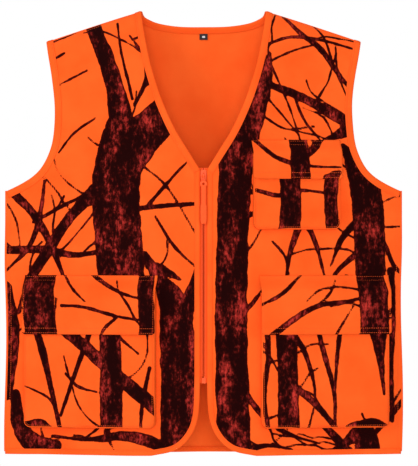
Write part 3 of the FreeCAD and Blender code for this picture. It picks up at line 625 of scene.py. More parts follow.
def make_tree_print():
    """Bark-coloured branches with ragged edges: colour, and how much of it covers the cloth."""
    tree, given, out = group(
        "tree_print", [("Rough Edge", "NodeSocketFloat", 0.0013)],
        [("Color", "NodeSocketColor"), ("Cover", "NodeSocketFloat")],
    )
    depth = add(tree, "ShaderNodeAttribute", attribute_name="ink").outputs["Fac"]
    place = add(tree, "ShaderNodeAttribute", attribute_name="lay").outputs["Vector"]
    ragged = maths(tree, "SUBTRACT", noise(tree, place, 260.0, 3.0), 0.5)
    ragged = maths(tree, "MULTIPLY", ragged, given.outputs["Rough Edge"])
    slow = maths(tree, "SUBTRACT", noise(tree, place, 60.0, 2.0), 0.5)
    slow = maths(tree, "MULTIPLY", slow, 0.003)
    inside = maths(tree, "ADD", maths(tree, "ADD", depth, ragged), slow)
    cover = maths(tree, "DIVIDE", maths(tree, "ADD", inside, 0.0004), 0.0008)
    cover = maths(tree, "MINIMUM", maths(tree, "MAXIMUM", cover, 0.0), 1.0)
    # Blotches of bark, gathered in larger patches down each trunk, and split by dark furrows.
    blotches = noise(tree, stretched(tree, place, (190.0, 190.0, 115.0)), 1.0, 6.0, 0.68)
    patches = noise(tree, stretched(tree, place, (44.0, 44.0, 17.0)), 1.0, 2.0, 0.5)
    furrows = noise(tree, stretched(tree, place, (420.0, 420.0, 110.0)), 1.0, 3.0, 0.6)
    mottle = maths(tree, "MULTIPLY", maths(tree, "ADD", blotches, patches), 0.5)
    bark = ramp(tree, mottle, [
        (0.0, (0.007, 0.001, 0.001)), (0.48, (0.014, 0.001, 0.001)), (0.525, (0.05, 0.003, 0.002)),
        (0.565, (0.20, 0.012, 0.009)), (0.64, (0.55, 0.036, 0.026)),
    ])
    split = ramp(tree, furrows, [(0.0, (1, 1, 1)), (0.40, (1, 1, 1)), (0.46, (0, 0, 0))])
    bark = mix(tree, maths(tree, "MULTIPLY", split, 0.8), bark, (0.012, 0.001, 0.001))
    # The outermost millimetre and thin twigs stay a deep maroon with no mottles.
    deep = maths(tree, "DIVIDE", inside, 0.0035)
    deep = maths(tree, "MINIMUM", maths(tree, "MAXIMUM", deep, 0.0), 1.0)
    colour = mix(tree, deep, (0.034, 0.001, 0.001), bark)
    tree.links.new(colour, out.inputs["Color"])
    tree.links.new(cover, out.inputs["Cover"])
    return tree


def finish_material(material, tree, colour, height, roughness, strength, distance):
    shader = tree.nodes["Principled BSDF"]
    if isinstance(colour, tuple):
        shader.inputs["Base Color"].default_value = (*colour, 1)
    else:
        tree.links.new(colour, shader.inputs["Base Color"])
    if isinstance(roughness, float):
        shader.inputs["Roughness"].default_value = roughness
    else:
        tree.links.new(roughness, shader.inputs["Roughness"])
    if height is not None:
        bump = add(tree, "ShaderNodeBump", Strength=strength, Distance=distance)
        tree.links.new(height, bump.inputs["Height"])
        tree.links.new(bump.outputs["Normal"], shader.inputs["Normal"])
    return material


def new_material(name):
    material = bpy.data.materials.new(name)
    material.use_nodes = True
    return material, material.node_tree


def cloth_material(name, orange, printed):
    material, tree = new_material(name)
    place = add(tree, "ShaderNodeAttribute", attribute_name="lay").outputs["Vector"]
    knit = add(tree, "ShaderNodeGroup", node_tree=bpy.data.node_groups["brushed_knit"])
    tree.links.new(place, knit.inputs["Vector"])
    light, dark = tuple(orange), tuple(c * k for c, k in zip(orange, (0.96, 0.80, 0.7)))
    colour = ramp(tree, knit.outputs["Shade"], [(0.3, dark), (0.62, light)])
    if printed:
        bark = add(tree, "ShaderNodeGroup", node_tree=bpy.data.node_groups["tree_print"])
        colour = mix(tree, bark.outputs["Cover"], colour, bark.outputs["Color"])
    shader = tree.nodes["Principled BSDF"]
    shader.inputs["Specular IOR Level"].default_value = 0.03
    rough = ramp(tree, knit.outputs["Height"], [(0.0, (0.95,) * 3), (1.0, (0.8,) * 3)])
    return finish_material(
        material, tree, colour, knit.outputs["Height"], rough, look().weave_strength, 0.0004
    )


def object_material(name, colour, dark, rough, scale, strength=0.25):
    """A finish for small hard or woven pieces, with a grain on the object's own coordinates."""
    material, tree = new_material(name)
    place = add(tree, "ShaderNodeTexCoord").outputs["Object"]
    fine = noise(tree, place, scale, 4.0)
    shade = ramp(tree, fine, [(0.3, dark), (0.7, colour)])
    roughness = ramp(tree, fine, [(0.2, (rough + 0.08,) * 3), (0.8, (rough - 0.05,) * 3)])
    tree.nodes["Principled BSDF"].inputs["Specular IOR Level"].default_value = 0.2
    return finish_material(material, tree, shade, fine, roughness, strength, 0.0002)


# ------------------------------------------------------------------ settings


class VestLook(bpy.types.PropertyGroup):
    orange: bpy.props.FloatVectorProperty(
        name="Orange", description="Colour of the cloth", subtype="COLOR", size=3,
        default=(1.0, 0.122, 0.017), min=0, max=1,
    )
    weave_strength: bpy.props.FloatProperty(
        name="Knit", description="How strongly the knit shows", default=0.35, min=0, max=1,
        subtype="FACTOR",
    )
    cell: bpy.props.FloatProperty(
        name="Cell", description="Size of the mesh cells of the front cloth", default=0.0023,
        min=0.001, unit="LENGTH",
    )
    back_cell: bpy.props.FloatProperty(
        name="Back Cell", description="Size of the mesh cells of the back cloth", default=0.0031,
        min=0.001, unit="LENGTH",
    )
    stitch: bpy.props.FloatProperty(
        name="Stitch", description="Length of one stitch", default=0.0032, min=0.001,
        unit="LENGTH",
    )


def look():
    return bpy.context.scene.vest_look


# ------------------------------------------------------------------ body cloth


def row_levels(cell):
    """Rows of a panel: an angle round the shoulder, then a share of the fall to the hem."""
    turn_rows = int(0.175 / cell)
    fall_rows = int((-HEM - TURN) / cell)
    angles = [(math.pi / 2 * i / turn_rows, 0.0) for i in range(turn_rows)]
    return angles + [(math.pi / 2, i / fall_rows) for i in range(fall_rows + 1)]


def level_z(x, angle, fall, top=0.0):
    angle = top + (math.pi / 2 - top) * angle / (math.pi / 2)
    turned = shoulder_z(x) - TURN * (1 - np.cos(angle))
    return turned * (1 - fall) + HEM * fall


def edge_at(line, angle, fall, inset):
    """x at which a row of the panel meets one of its side edges."""
    order = np.argsort(line[:, 1])
    x = 0.15
    for _ in range(24):
        x = float(np.interp(level_z(x, angle, fall), line[order, 1], line[order, 0])) + inset
    return min(x, HALF)


def top_turn(x):
    """Angle at which the back begins: below the neckline, or at the shoulder seam."""
    order = np.argsort(BACK_NECK_LINE[:, 0])
    neck = np.interp(x, BACK_NECK_LINE[order, 0], BACK_NECK_LINE[order, 1])
    return np.where(abs(x) < NECK_POINT - 0.0018, turn_angle(x, neck - 0.0012), 0.0)


def body_cloth(name, side, region, cell):
    rows = row_levels(cell)
    columns = int((2 * HALF if side > 0 else HALF) / cell)
    across = np.linspace(0, 1, columns)
    xs, zs = [], []
    for angle, fall in rows:
        outer = edge_at(ARM_LINE, angle, fall, -0.001)
        if side > 0:
            x = -outer + 2 * outer * across
            z = level_z(x, angle, fall, top_turn(x))
        else:
            inner = edge_at(FRONT_LINE, angle, fall, 0.001)
            x = inner + (outer - inner) * across
            z = level_z(x, angle, fall)
        xs.append(x)
        zs.append(z)
    x, z = np.array(xs), np.maximum(np.array(zs), HEM + 0.001)
    mirror = -1 if region == "right_front" else 1
    x = x * mirror
    outer, _ = on_cloth(side, x, z, CLOTH)
    inner, _ = on_cloth(side, x, z, 0.0)
    drawn = unrolled(x, z)
    pile = Pile()
    pile.shell(outer, inner, np.stack([x, 0 * x, drawn], -1), ink(region, x, drawn))
    # Topstitching beside the shoulder seams and the side seams.
    for sign in (-1, 1) if side > 0 else (mirror,):
        along = np.linspace(0.104, 0.219, 60) * sign
        pile.stitches(*on_run(along, np.full(60, -side * BESIDE), CLOTH), 2)
        down = np.linspace(-0.272, -0.638, 160)
        beside = np.full(160, (HALF - BESIDE) * sign)
        pile.stitches(*on_cloth(side, beside, down, CLOTH), 2)
    obj = pile.build(name, "printed cloth", "plain cloth inside", "thread")
    stand_in(obj, name.removesuffix("_cloth"))
    return obj


# ------------------------------------------------------------------ bindings and seams


def path_on(side, line, sign=1):
    """An edge line as (x, run) on the cloth, cut off at the shoulder and side seams."""
    fine = np.linspace(0, len(line) - 1, 4000)
    x, z = (np.interp(fine, np.arange(len(line)), line[:, k]) for k in (0, 1))
    keep = (z <= shoulder_z(x)) & (abs(x) <= HALF)
    x, z = x[keep], z[keep]
    return np.stack([x * sign, run_of(side, x, z)], -1)


def even(path, step):
    """The path again, with places about step apart as measured over the cloth."""
    points, _ = on_run(path[:, 0], path[:, 1])
    along = np.concatenate([[0], np.cumsum(np.linalg.norm(np.diff(points, axis=0), axis=1))])
    at = np.linspace(0, along[-1], max(4, int(along[-1] / step)))
    return np.stack([np.interp(at, along, path[:, k]) for k in (0, 1)], -1), along[-1]


EDGE_STEP = 0.0035


class Edge:
    """A path over the cloth, with the way in from the edge at each place on it."""

    def __init__(self, path, toward):
        self.path, self.length = even(path, EDGE_STEP)
        x, run = self.path.T
        points, normals = on_run(x, run)
        along = np.gradient(points, axis=0)
        inward = np.cross(normals, along) * toward
        inward /= np.linalg.norm(inward, axis=1, keepdims=True)
        step = 5e-4
        by_x = (on_run(x + step, run)[0] - on_run(x - step, run)[0]) / (2 * step)
        by_run = (on_run(x, run + step)[0] - on_run(x, run - step)[0]) / (2 * step)
        xx, rr = (by_x**2).sum(1), (by_run**2).sum(1)
        xr = (by_x * by_run).sum(1)
        bx, br = (inward * by_x).sum(1), (inward * by_run).sum(1)
        scale = xx * rr - xr**2
        self.turn = np.stack([(bx * rr - br * xr) / scale, (br * xx - bx * xr) / scale], -1)

    def at(self, inset, out):
        """Points and outward directions at insets from the edge and distances out."""
        x = self.path[:, :1] + self.turn[:, :1] * inset
        run = self.path[:, 1:] + self.turn[:, 1:] * inset
        return on_run(np.clip(x, -HALF, HALF), run, np.broadcast_to(out, x.shape))

    def lay(self, insets):
        """Weave coordinates of a strip: along the edge, and in from it."""
        travelled = np.linspace(0, self.length, len(self.path))
        return np.stack(np.broadcast_arrays(travelled[:, None], 0, insets), -1)


FOLD_UP, FOLD_CLOTH = 0.0010, 0.0007


def fold_section(width, lift):
    """Section of a folded binding, as (in from the edge, out of the cloth) round its outside."""
    high = FOLD_UP + FOLD_CLOTH + lift
    outside = [
        (width, high - 0.0004), (width * 0.96, high - 0.0001), (width * 0.84, high),
        (width * 0.76, high - 0.0002), (width * 0.55, high + 0.0002), (width * 0.25, high + 0.0002),
        (0.0009, high * 0.8), (0.0001, high * 0.32),
    ]
    inside = [(0.0010, 0.0002), (0.0016, FOLD_UP * 0.8), (width * 0.5, FOLD_UP), (width, FOLD_UP)]
    loop = outside + [(a, -b) for a, b in reversed(outside)]
    return np.array(loop + [(a, -b) for a, b in reversed(inside)] + inside)


# The cut end of a fold: one leg's faces, the other leg's, and the one across the fold.
LEG_END = (
    (0, 1, 23), (1, 2, 22, 23), (2, 3, 22), (3, 4, 22), (4, 5, 21, 22), (5, 6, 20, 21), (6, 7, 20),
)
FOLD_END = [*LEG_END, *(tuple((39 - i) % 24 for i in leg) for leg in LEG_END), (7, 8, 19, 20)]


def binding(name, edges, width, node, lift=0.0):
    """Strip folded over an edge of the cloth and stitched through."""
    pile = Pile()
    section = fold_section(width, lift)
    around = len(section)
    for edge in edges:
        points, _ = edge.at(section[None, :, 0], section[None, :, 1] + CLOTH / 2)
        count = len(points)
        faces = tube_faces(count, around)
        faces += [[k + start for k in face] for face in FOLD_END
                  for start in (0, (count - 1) * around)]
        pile.add(points, faces, lay=edge.lay(section[None, :, 0]))
        for out in (1, -1):
            top = FOLD_UP + FOLD_CLOTH + lift
            spots, normals = edge.at(np.array([[width * 0.78]]), top * out + CLOTH / 2)
            pile.stitches(spots[:, 0], normals[:, 0] * out, 1)
    obj = pile.build(name, "binding cloth", "thread")
    stand_in(obj, node)
    return obj


def shoulder_seam(name, path, half_width, height):
    """Low rounded ridge of cloth that closes a seam, along a path over the outside."""
    pile = Pile()
    section = np.array([
        (-1, 0), (-0.8, 0.6), (-0.4, 0.9), (0, 1), (0.4, 0.9), (0.8, 0.6), (1, 0), (0.5, -0.8),
        (-0.5, -0.8),
    ]) * (half_width, height)
    around = len(section)
    edge = Edge(path, 1)
    points, _ = edge.at(section[None, :, 0], section[None, :, 1] + CLOTH)
    count = len(points)
    faces = tube_faces(count, around)
    faces += [list(range(around)), list(range((count - 1) * around, count * around))]
    pile.add(points, faces, lay=edge.lay(section[None, :, 0]))
    obj = pile.build(name, "plain cloth")
    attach(obj, "vest")


def side_seam(name, sign):
    """Felled side seam: a small rounded roll that closes the front to the back."""
    pile = Pile()
    count, around = 170, 12
    z = np.linspace(-0.262, HEM + 0.004, count)
    turn = np.linspace(0, 2 * math.pi, around, endpoint=False)
    centre, _ = on_cloth(-1, np.full(count, HALF * sign), z, 0.0)
    reach = np.stack([np.cos(turn) * 0.0019, np.sin(turn) * 0.0017, 0 * turn], -1)
    points = centre[:, None] * (1, 0, 1) + reach
    faces = tube_faces(count, around)
    faces += [list(range(around)), list(range((count - 1) * around, count * around))]
    pile.add(points, faces)
    obj = pile.build(name, "plain cloth")
    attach(obj, "vest")


# ------------------------------------------------------------------ pockets


POCKET_CORNER = 0.009


class PocketPlan:
    """Sizes of one pocket, and the flat plane that it is laid out on."""

    def __init__(self, name, centre, width, seam_z, tall, deep, mouth, drop, print_name):
        self.name, self.print_name = name, print_name
        self.width, self.seam, self.tall, self.deep = width, seam_z, tall, deep
        self.mouth, self.drop = mouth, drop
        self.half = width / 2 - 0.002
        a, b = centre - width / 2, centre + width / 2
        start, end = (-DEPTH * float(fullness(v)) for v in (a, b))
        slope = (end - start) / (b - a)
        lean = math.hypot(1, slope)
        x = np.linspace(a, b, 41)
        rise = float((start + slope * (x - a) + DEPTH * fullness(x)).max()) / lean
        out = rise + 0.0018
        self.origin = np.array([centre + slope / lean * out, (start + end) / 2 - out / lean, 0])
        self.along = np.array([1, slope, 0]) / lean
        self.out = np.array([slope, -1, 0]) / lean

    def point(self, u, z, d):
        """Point at u along the pocket, height z and d out of its plane."""
        u, z, d = np.broadcast_arrays(u, z, d)
        up = np.array([0, 0, 1.0])
        return (
            self.origin + u[..., None] * self.along + d[..., None] * self.out + z[..., None] * up
        )

    def cloth(self, u, z):
        """How far out of the plane the front's cloth lies; it bulges from behind."""
        x = self.point(u, z, 0.0)[..., 0]
        spot, _ = on_cloth(-1, x, z, CLOTH)
        return (spot - self.origin) @ self.out

    def half_at(self, z):
        """Half width of the face at a height, with its rounded lower corners."""
        return rounded(self.half, POCKET_CORNER, z - (self.seam - self.tall))

    def ink(self, part, u, z):
        x = self.point(u, z, 0.0)[..., 0]
        return ink(f"{self.print_name}_{part}", x, z)


def pocket_plans():
    return (
        PocketPlan("lower_right_pocket", -0.1645, 0.199, -0.386, 0.222, 0.011, 0.026, 0.086,
                   "lower_right"),
        PocketPlan("lower_left_pocket", 0.176, 0.194, -0.386, 0.222, 0.011, 0.026, 0.086,
                   "lower_left"),
        PocketPlan("chest_pocket", 0.135, 0.132, -0.188, 0.130, 0.008, 0.021, 0.057,
                   "chest_pocket"),
    )


def surface_normals(points):
    """Outward directions of a grid of points that runs across and then down."""
    across, down = np.gradient(points, axis=1), np.gradient(points, axis=0)
    normals = np.cross(down, across)
    return normals / np.maximum(np.linalg.norm(normals, axis=-1, keepdims=True), 1e-12)


def face_depth(plan, u, z):
    """The face stands off the gusset, fills out low down and rolls in at its rim."""
    below = (plan.seam - z - plan.mouth) / (plan.tall - plan.mouth)
    wide = u / plan.half
    crown = 0.0030 * np.clip(1 - wide**2, 0, 1) * smooth((below - 0.34) / 0.3)
    crown = crown * smooth((1 - below) / 0.3)
    ripple = 0.0007 * np.sin(u * 74 + 1.0) * np.sin(z * 43 + u * 20)
    inner = plan.half_at(z) - abs(u)
    rim_gap = np.minimum(inner, z - (plan.seam - plan.tall))
    roll = 0.0016 * (1 - smooth(rim_gap / 0.004))
    return plan.deep + 0.0002 + crown + ripple * smooth((below - 0.34) / 0.2) - roll


def pocket_face(plan):
    cell = look().cell
    z = plan.seam - np.linspace(plan.mouth, plan.tall, int((plan.tall - plan.mouth) / cell))
    share = np.linspace(-1, 1, int(2 * plan.half / cell))
    z = np.repeat(z[:, None], len(share), 1)
    u = share[None, :] * plan.half_at(z)
    depth = face_depth(plan, u, z)
    outer, inner = plan.point(u, z, depth + CLOTH), plan.point(u, z, depth)
    pile = Pile()
    lay = np.stack([plan.point(u, z, 0.0)[..., 0], 0 * u, z], -1)
    pile.shell(outer, inner, lay, plan.ink("face", u, z))
    # One row of stitches beside the sides and bottom, and two along the mouth's hem.
    inset = 0.0028
    low, high = plan.seam - plan.tall + inset, plan.seam - plan.mouth - 0.002
    bend = np.linspace(0, math.pi / 2, 12)
    radius = POCKET_CORNER - inset
    corner_u = plan.half - POCKET_CORNER + radius * np.cos(bend)
    corner_z = low + radius - radius * np.sin(bend)
    side = np.linspace(high, low + radius, 80)
    path_u = np.concatenate([np.full(80, plan.half - inset), corner_u, [0], -corner_u[::-1],
                             np.full(80, -plan.half + inset)])
    path_z = np.concatenate([side, corner_z, [low], corner_z[::-1], side[::-1]])
    fine = np.linspace(0, len(path_u) - 1, 900)
    path_u, path_z = (np.interp(fine, np.arange(len(path_u)), v) for v in (path_u, path_z))
    rows = [(path_u, path_z)]
    for drop in (0.003, 0.018):
        rows.append((np.linspace(-plan.half, plan.half, 200) * 0.985,
                     np.full(200, plan.seam - plan.mouth - drop)))
    for row_u, row_z in rows:
        spots = plan.point(row_u, row_z, face_depth(plan, row_u, row_z) + CLOTH)
        pile.stitches(spots, np.broadcast_to(plan.out, spots.shape), 2)
    obj = pile.build(f"{plan.name}_front", "printed cloth", "plain cloth inside", "thread")
    stand_in(obj, f"{plan.name}_face")
    return obj


def pocket_side(plan):
    """Gusset: one strip down a side, round the bottom and up the other side."""
    radius, low = POCKET_CORNER, plan.seam - plan.tall
    bend = np.linspace(0, math.pi / 2, 8)
    side = np.linspace(plan.seam - plan.mouth + 0.001, low + radius, 60)
    corner_u = plan.half - radius + radius * np.cos(bend)
    corner_z = low + radius - radius * np.sin(bend)
    u = np.concatenate([np.full(59, plan.half), corner_u])
    z = np.concatenate([side[:-1], corner_z])
    floor = np.linspace(plan.half - radius, -(plan.half - radius), 60)[1:-1]
    u, z = np.concatenate([u, floor, -u[::-1]]), np.concatenate([z, np.full(58, low), z[::-1]])
    turn = np.stack([-np.gradient(z), np.gradient(u)], -1)
    turn /= np.linalg.norm(turn, axis=1, keepdims=True)
    across = np.linspace(0, 1, 9)
    start, end = plan.cloth(u, z) - 0.0004, np.full(len(u), plan.deep + 0.0004)
    depth = start[:, None] + (end - start)[:, None] * across[None, :]
    bulge = 0.0011 * np.sin(across * math.pi)[None, :] + 0 * depth
    layers = []
    for inward in (0.0, 0.0010):
        offset = bulge - inward
        layers.append(
            plan.point(u[:, None] + turn[:, :1] * offset, z[:, None] + turn[:, 1:] * offset, depth)
        )
    travelled = np.concatenate([[0], np.cumsum(np.hypot(np.diff(u), np.diff(z)))])
    lay = np.stack(np.broadcast_arrays(travelled[:, None], 0, depth), -1)
    pile = Pile()
    pile.shell(*layers, lay)
    obj = pile.build(f"{plan.name}_side", "plain cloth", "plain cloth inside")
    stand_in(obj, f"{plan.name}_gusset")
    return obj


def flap_inside(plan, u, fall):
    """How far out of the pocket's plane the inside of the flap hangs."""
    z = plan.seam - fall
    seat = plan.cloth(u, z) + 0.0004
    clear = plan.deep + 0.0044
    edge = smooth((abs(u) / (plan.width / 2) - 0.5) / 0.5) * smooth((fall - 0.03) / 0.03)
    wave = 0.0009 * (1 + np.sin(u * 61 + plan.seam * 9)) * edge
    return seat + (clear - seat) * smooth(fall / plan.mouth) + wave


def pocket_flap(plan):
    cell = look().cell
    radius = 0.004
    fall = np.linspace(0, plan.drop, int(plan.drop / cell))
    share = np.linspace(-1, 1, int(plan.width / cell))
    fall = np.repeat(fall[:, None], len(share), 1)
    u = share * rounded(plan.width / 2, radius, plan.drop - fall)
    z = plan.seam - fall
    middle = plan.point(u, z, flap_inside(plan, u, fall) + CLOTH / 2)
    normals = surface_normals(middle)
    outer, inner = middle + normals * CLOTH / 2, middle - normals * CLOTH / 2
    pile = Pile()
    lay = np.stack([plan.point(u, z, 0.0)[..., 0], 0 * u, z], -1)
    pile.shell(outer, inner, lay, plan.ink("flap", u, z))
    count = 220
    rows = [(np.linspace(-0.49, 0.49, count) * plan.width, np.full(count, drop))
            for drop in (0.0018, 0.0072, plan.drop - 0.009, plan.drop - 0.0022)]
    for sign in (-1, 1):
        rows.append((np.full(count, sign * (plan.width / 2 - 0.0024)),
                     np.linspace(0.008, plan.drop - 0.004, count)))
    for row_u, row_fall in rows:
        d = flap_inside(plan, row_u, row_fall) + CLOTH
        spots = plan.point(row_u, plan.seam - row_fall, d)
        ahead = plan.point(row_u, plan.seam - row_fall - 1e-4,
                           flap_inside(plan, row_u, row_fall + 1e-4) + CLOTH)
        normals = np.cross(ahead - spots, plan.along)
        normals /= np.linalg.norm(normals, axis=1, keepdims=True)
        pile.stitches(spots, normals, 2)
    obj = pile.build(f"{plan.name}_flap_cloth", "printed cloth", "plain cloth inside", "thread")
    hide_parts(f"{plan.name}_flap")
    start = plan.point(0.0, plan.seam, 0.001)
    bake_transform(obj)
    return obj


def closure(plan, kind, body):
    """Hook tape or loop tape: a thin strip with rounded corners, stitched across its top and bottom.
    """
    thick = 0.001
    low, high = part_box(f"{plan.name}_{kind}_tape")[0].z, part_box(f"{plan.name}_{kind}_tape")[1].z
    inner = plan.deep + (0.0014 if kind == "loop" else 0.0044 - thick)
    half, radius = plan.width * 0.2, 0.003
    z = np.linspace(high, low, 24)
    wide = rounded(half, radius, np.minimum(high - z, z - low))
    share = np.linspace(-1, 1, 60)
    u = wide[:, None] * share[None, :]
    z = z[:, None] + 0 * u
    outer, back = plan.point(u, z, inner + thick), plan.point(u, z, inner)
    pile = Pile()
    pile.shell(outer, back, np.stack([u, 0 * u, z], -1))
    facing = 1 if kind == "loop" else -1
    for level in (high - 0.002, low + 0.002):
        row = np.linspace(-half + 0.004, half - 0.004, 90)
        spots = plan.point(row, level, inner + (thick if facing > 0 else 0))
        pile.stitches(spots, np.broadcast_to(plan.out * facing, spots.shape), 2)
    obj = pile.build(f"{plan.name}_{kind}_strip", f"{kind} tape", f"{kind} tape", "thread")
    stand_in(obj, f"{plan.name}_{kind}_tape", body)
    return obj


# ------------------------------------------------------------------ zip


def deselect():
    bpy.ops.object.select_all(action="DESELECT")


def block(size, place, bevel, segments=2):
    """Rounded block, made at its size and place."""
    deselect()
    bpy.ops.mesh.primitive_cube_add(size=1, location=place, scale=size)
    obj = bpy.context.object
    bpy.ops.object.transform_apply(location=True, rotation=True, scale=True)
    round_edges(bevel, segments)
    return obj


def round_edges(bevel, segments):
    """Bevels every edge of the active block."""
    bpy.ops.object.mode_set(mode="EDIT")
    bpy.ops.mesh.select_all(action="SELECT")
    bpy.ops.mesh.bevel(offset=bevel, segments=segments, profile=0.5, clamp_overlap=True)
    bpy.ops.object.mode_set(mode="OBJECT")


def squeeze(obj, level, centre, factor, above=True):
    """Narrows the part of a block above or below a level."""
    bpy.ops.object.mode_set(mode="EDIT")
    surface = bmesh.from_edit_mesh(obj.data)
    for v in surface.verts:
        v.select_set((v.co.z > level) == above)
    surface.select_flush_mode()
    bmesh.update_edit_mesh(obj.data)
    bpy.ops.transform.resize(value=factor, center_override=centre)
    bpy.ops.object.mode_set(mode="OBJECT")


def joined(name, pieces, material):
    deselect()
    for piece in pieces:
        piece.select_set(True)
    bpy.context.view_layer.objects.active = pieces[0]
    if len(pieces) > 1:
        bpy.ops.object.join()
    obj = bpy.context.object
    bpy.ops.object.origin_set(type="ORIGIN_CURSOR")
    obj.name = obj.data.name = name
    obj.data.materials.clear()
    obj.data.materials.append(bpy.data.materials[material])
    bpy.ops.object.shade_smooth_by_angle(angle=math.radians(40))
    return obj


def zip_centre(node="zip_teeth_left"):
    low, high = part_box(node)
    return (low.y + high.y) / 2


def zip_tape(side, sign):
    node = f"zip_tape_{side}"
    low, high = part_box(node)
    x = np.linspace(abs(low.x) if sign > 0 else abs(high.x),
                    abs(high.x) if sign > 0 else abs(low.x), 9) * sign
    z = np.linspace(high.z, low.z, 150)
    x, z = np.meshgrid(x, z)
    # A corded edge beside the teeth.
    thick = 0.00032 + 0.00022 * np.exp(-(((abs(x) - abs(x).min()) / 0.0009) ** 2))
    y = zip_centre(node) + 0 * x
    pile = Pile()
    lay = np.stack([x, 0 * x, z], -1)
    outer = np.stack([x, y - thick, z], -1)
    pile.shell(outer, np.stack([x, y + thick, z], -1), lay)
    obj = pile.build(f"{node}_woven", "zip tape cloth", "zip tape cloth")
    stand_in(obj, node)


def zip_teeth(side, sign):
    """A row of moulded teeth on a bead, each with a rounded head and a waist."""
    node = f"zip_teeth_{side}"
    low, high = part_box(node)
    y = (low.y + high.y) / 2
    pitch, tall, count = 0.0024, 0.0013, 118
    first = high.z - tall / 2 - (0.0012 if sign > 0 else 0)
    head = block((0.0011, 0.0021, 0.00130), (0.00082 * sign, y, first), 0.00028)
    waist = block((0.0011, 0.0015, 0.00100), (0.00175 * sign, y, first), 0.00018)
    tooth = joined(f"zip_row_{side}", [head, waist], "zip plastic")
    row = tooth.modifiers.new("row", "ARRAY")
    row.count = count
    row.use_relative_offset = False
    row.use_constant_offset = True
    row.constant_offset_displace = (0, 0, -pitch)
    bpy.ops.object.modifier_apply(modifier="row")
    length = high.z - low.z
    bead = block((0.0009, 0.0014, length), (0.0021 * sign, y, (high.z + low.z) / 2), 0.0002)
    obj = joined(f"zip_row_{side}", [tooth, bead], "zip plastic")
    stand_in(obj, node)


def zip_slider():
    low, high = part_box("zip_slider")
    y = zip_centre()
    top, tall = high.z, high.z - low.z
    pieces = []
    for out in (-1, 1):
        plate = block((0.0086, 0.0013, tall), (0, y + out * 0.00200, top - tall / 2), 0.00001, 1)
        deselect()
        plate.select_set(True)
        bpy.context.view_layer.objects.active = plate
        bpy.ops.object.mode_set(mode="EDIT")
        for level in (0.30, 0.55, 0.8):
            bpy.ops.mesh.select_all(action="SELECT")
            bpy.ops.mesh.bisect(plane_co=(0, y, top - tall * level), plane_no=(0, 0, 1))
        bpy.ops.object.mode_set(mode="OBJECT")
        middle = (0, y + out * 0.002, top)
        squeeze(plate, top - tall * 0.7, middle, (0.86, 1, 1), above=False)
        squeeze(plate, top - tall * 0.9, middle, (0.88, 1, 1), above=False)
        squeeze(plate, top - tall * 0.1, middle, (0.9, 1, 1))
        deselect()
        plate.select_set(True)
        bpy.context.view_layer.objects.active = plate
        round_edges(0.0003, 3)
        pieces.append(plate)
    pieces.append(block((0.0004, 0.0036, 0.0046), (0, y, top - 0.0025), 0.0002))
    # The bail stands on the front plate and holds the pull's bar.
    front = low.y
    reach = (y - 0.0020) - front
    pieces.append(block((0.0022, reach, 0.0016), (0, front + reach / 2, top - 0.0052), 0.0004, 3))
    pieces.append(block((0.0022, 0.0013, 0.0068), (0, front + 0.00065, top - 0.0078), 0.0005, 3))
    pieces.append(block((0.0022, 0.0026, 0.0011), (0, front + 0.0013, top - 0.0107), 0.0004, 3))
    obj = joined("zip_slider_body", pieces, "zip metal")
    stand_in(obj, "zip_slider", "slider")


def zip_pull():
    low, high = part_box("zip_pull")
    y = (low.y + high.y) / 2
    bar_z = high.z - 0.0006
    deselect()
    bpy.ops.mesh.primitive_cylinder_add(
        vertices=20, radius=0.0006, depth=0.0058, location=(0, y, bar_z),
        rotation=(0, math.pi / 2, 0),
    )
    bpy.ops.object.transform_apply(location=True, rotation=True, scale=True)
    pieces = [bpy.context.object]
    for sign in (-1, 1):
        pieces.append(block((0.0013, 0.0011, 0.0100), (0.00215 * sign, y, bar_z - 0.0049), 0.0004, 3))
    deselect()
    bpy.ops.mesh.primitive_torus_add(
        major_segments=40, minor_segments=12, major_radius=0.00355, minor_radius=0.0019,
        location=(0, y, -0.2525), rotation=(math.pi / 2, 0, 0),
    )
    bpy.ops.transform.resize(value=(1, 0.34, 0.92), center_override=(0, y, -0.2525))
    bpy.ops.object.transform_apply(location=True, rotation=True, scale=True)
    pieces.append(bpy.context.object)
    obj = joined("zip_pull_ring", pieces, "zip metal")
    stand_in(obj, "zip_pull", "pull")

    low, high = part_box("zip_pull_tab")
    tall = high.z - low.z + 0.0015
    tab = block((high.x - low.x, 0.0013, tall), (0, y, low.z + tall / 2), 0.00001, 1)
    bpy.ops.object.mode_set(mode="EDIT")
    for level in (-0.2845, -0.2815, -0.305, -0.262):
        bpy.ops.mesh.select_all(action="SELECT")
        bpy.ops.mesh.bisect(plane_co=(0, y, level), plane_no=(0, 0, 1))
    bpy.ops.object.mode_set(mode="OBJECT")
    squeeze(tab, -0.2825, (0, y, -0.2815), (0.75, 1, 1))
    squeeze(tab, -0.3095, (0, y, low.z), (0.8, 1, 1), above=False)
    deselect()
    tab.select_set(True)
    bpy.context.view_layer.objects.active = tab
    round_edges(0.0004, 3)
    obj = joined("zip_pull_strap", [tab], "pull tab")
    stand_in(obj, "zip_pull_tab", "pull")


def zip_ends():
    """Moulded stops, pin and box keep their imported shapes, with their edges rounded."""
    for node in ("zip_top_stop_left", "zip_top_stop_right", "zip_insertion_pin", "zip_box"):
        obj = bpy.data.objects[node]
        obj.data.materials.clear()
        obj.data.materials.append(bpy.data.materials["zip plastic"])
        edge = obj.modifiers.new("rounded", "BEVEL")
        edge.width, edge.segments = 0.00025, 2


# ------------------------------------------------------------------ size label


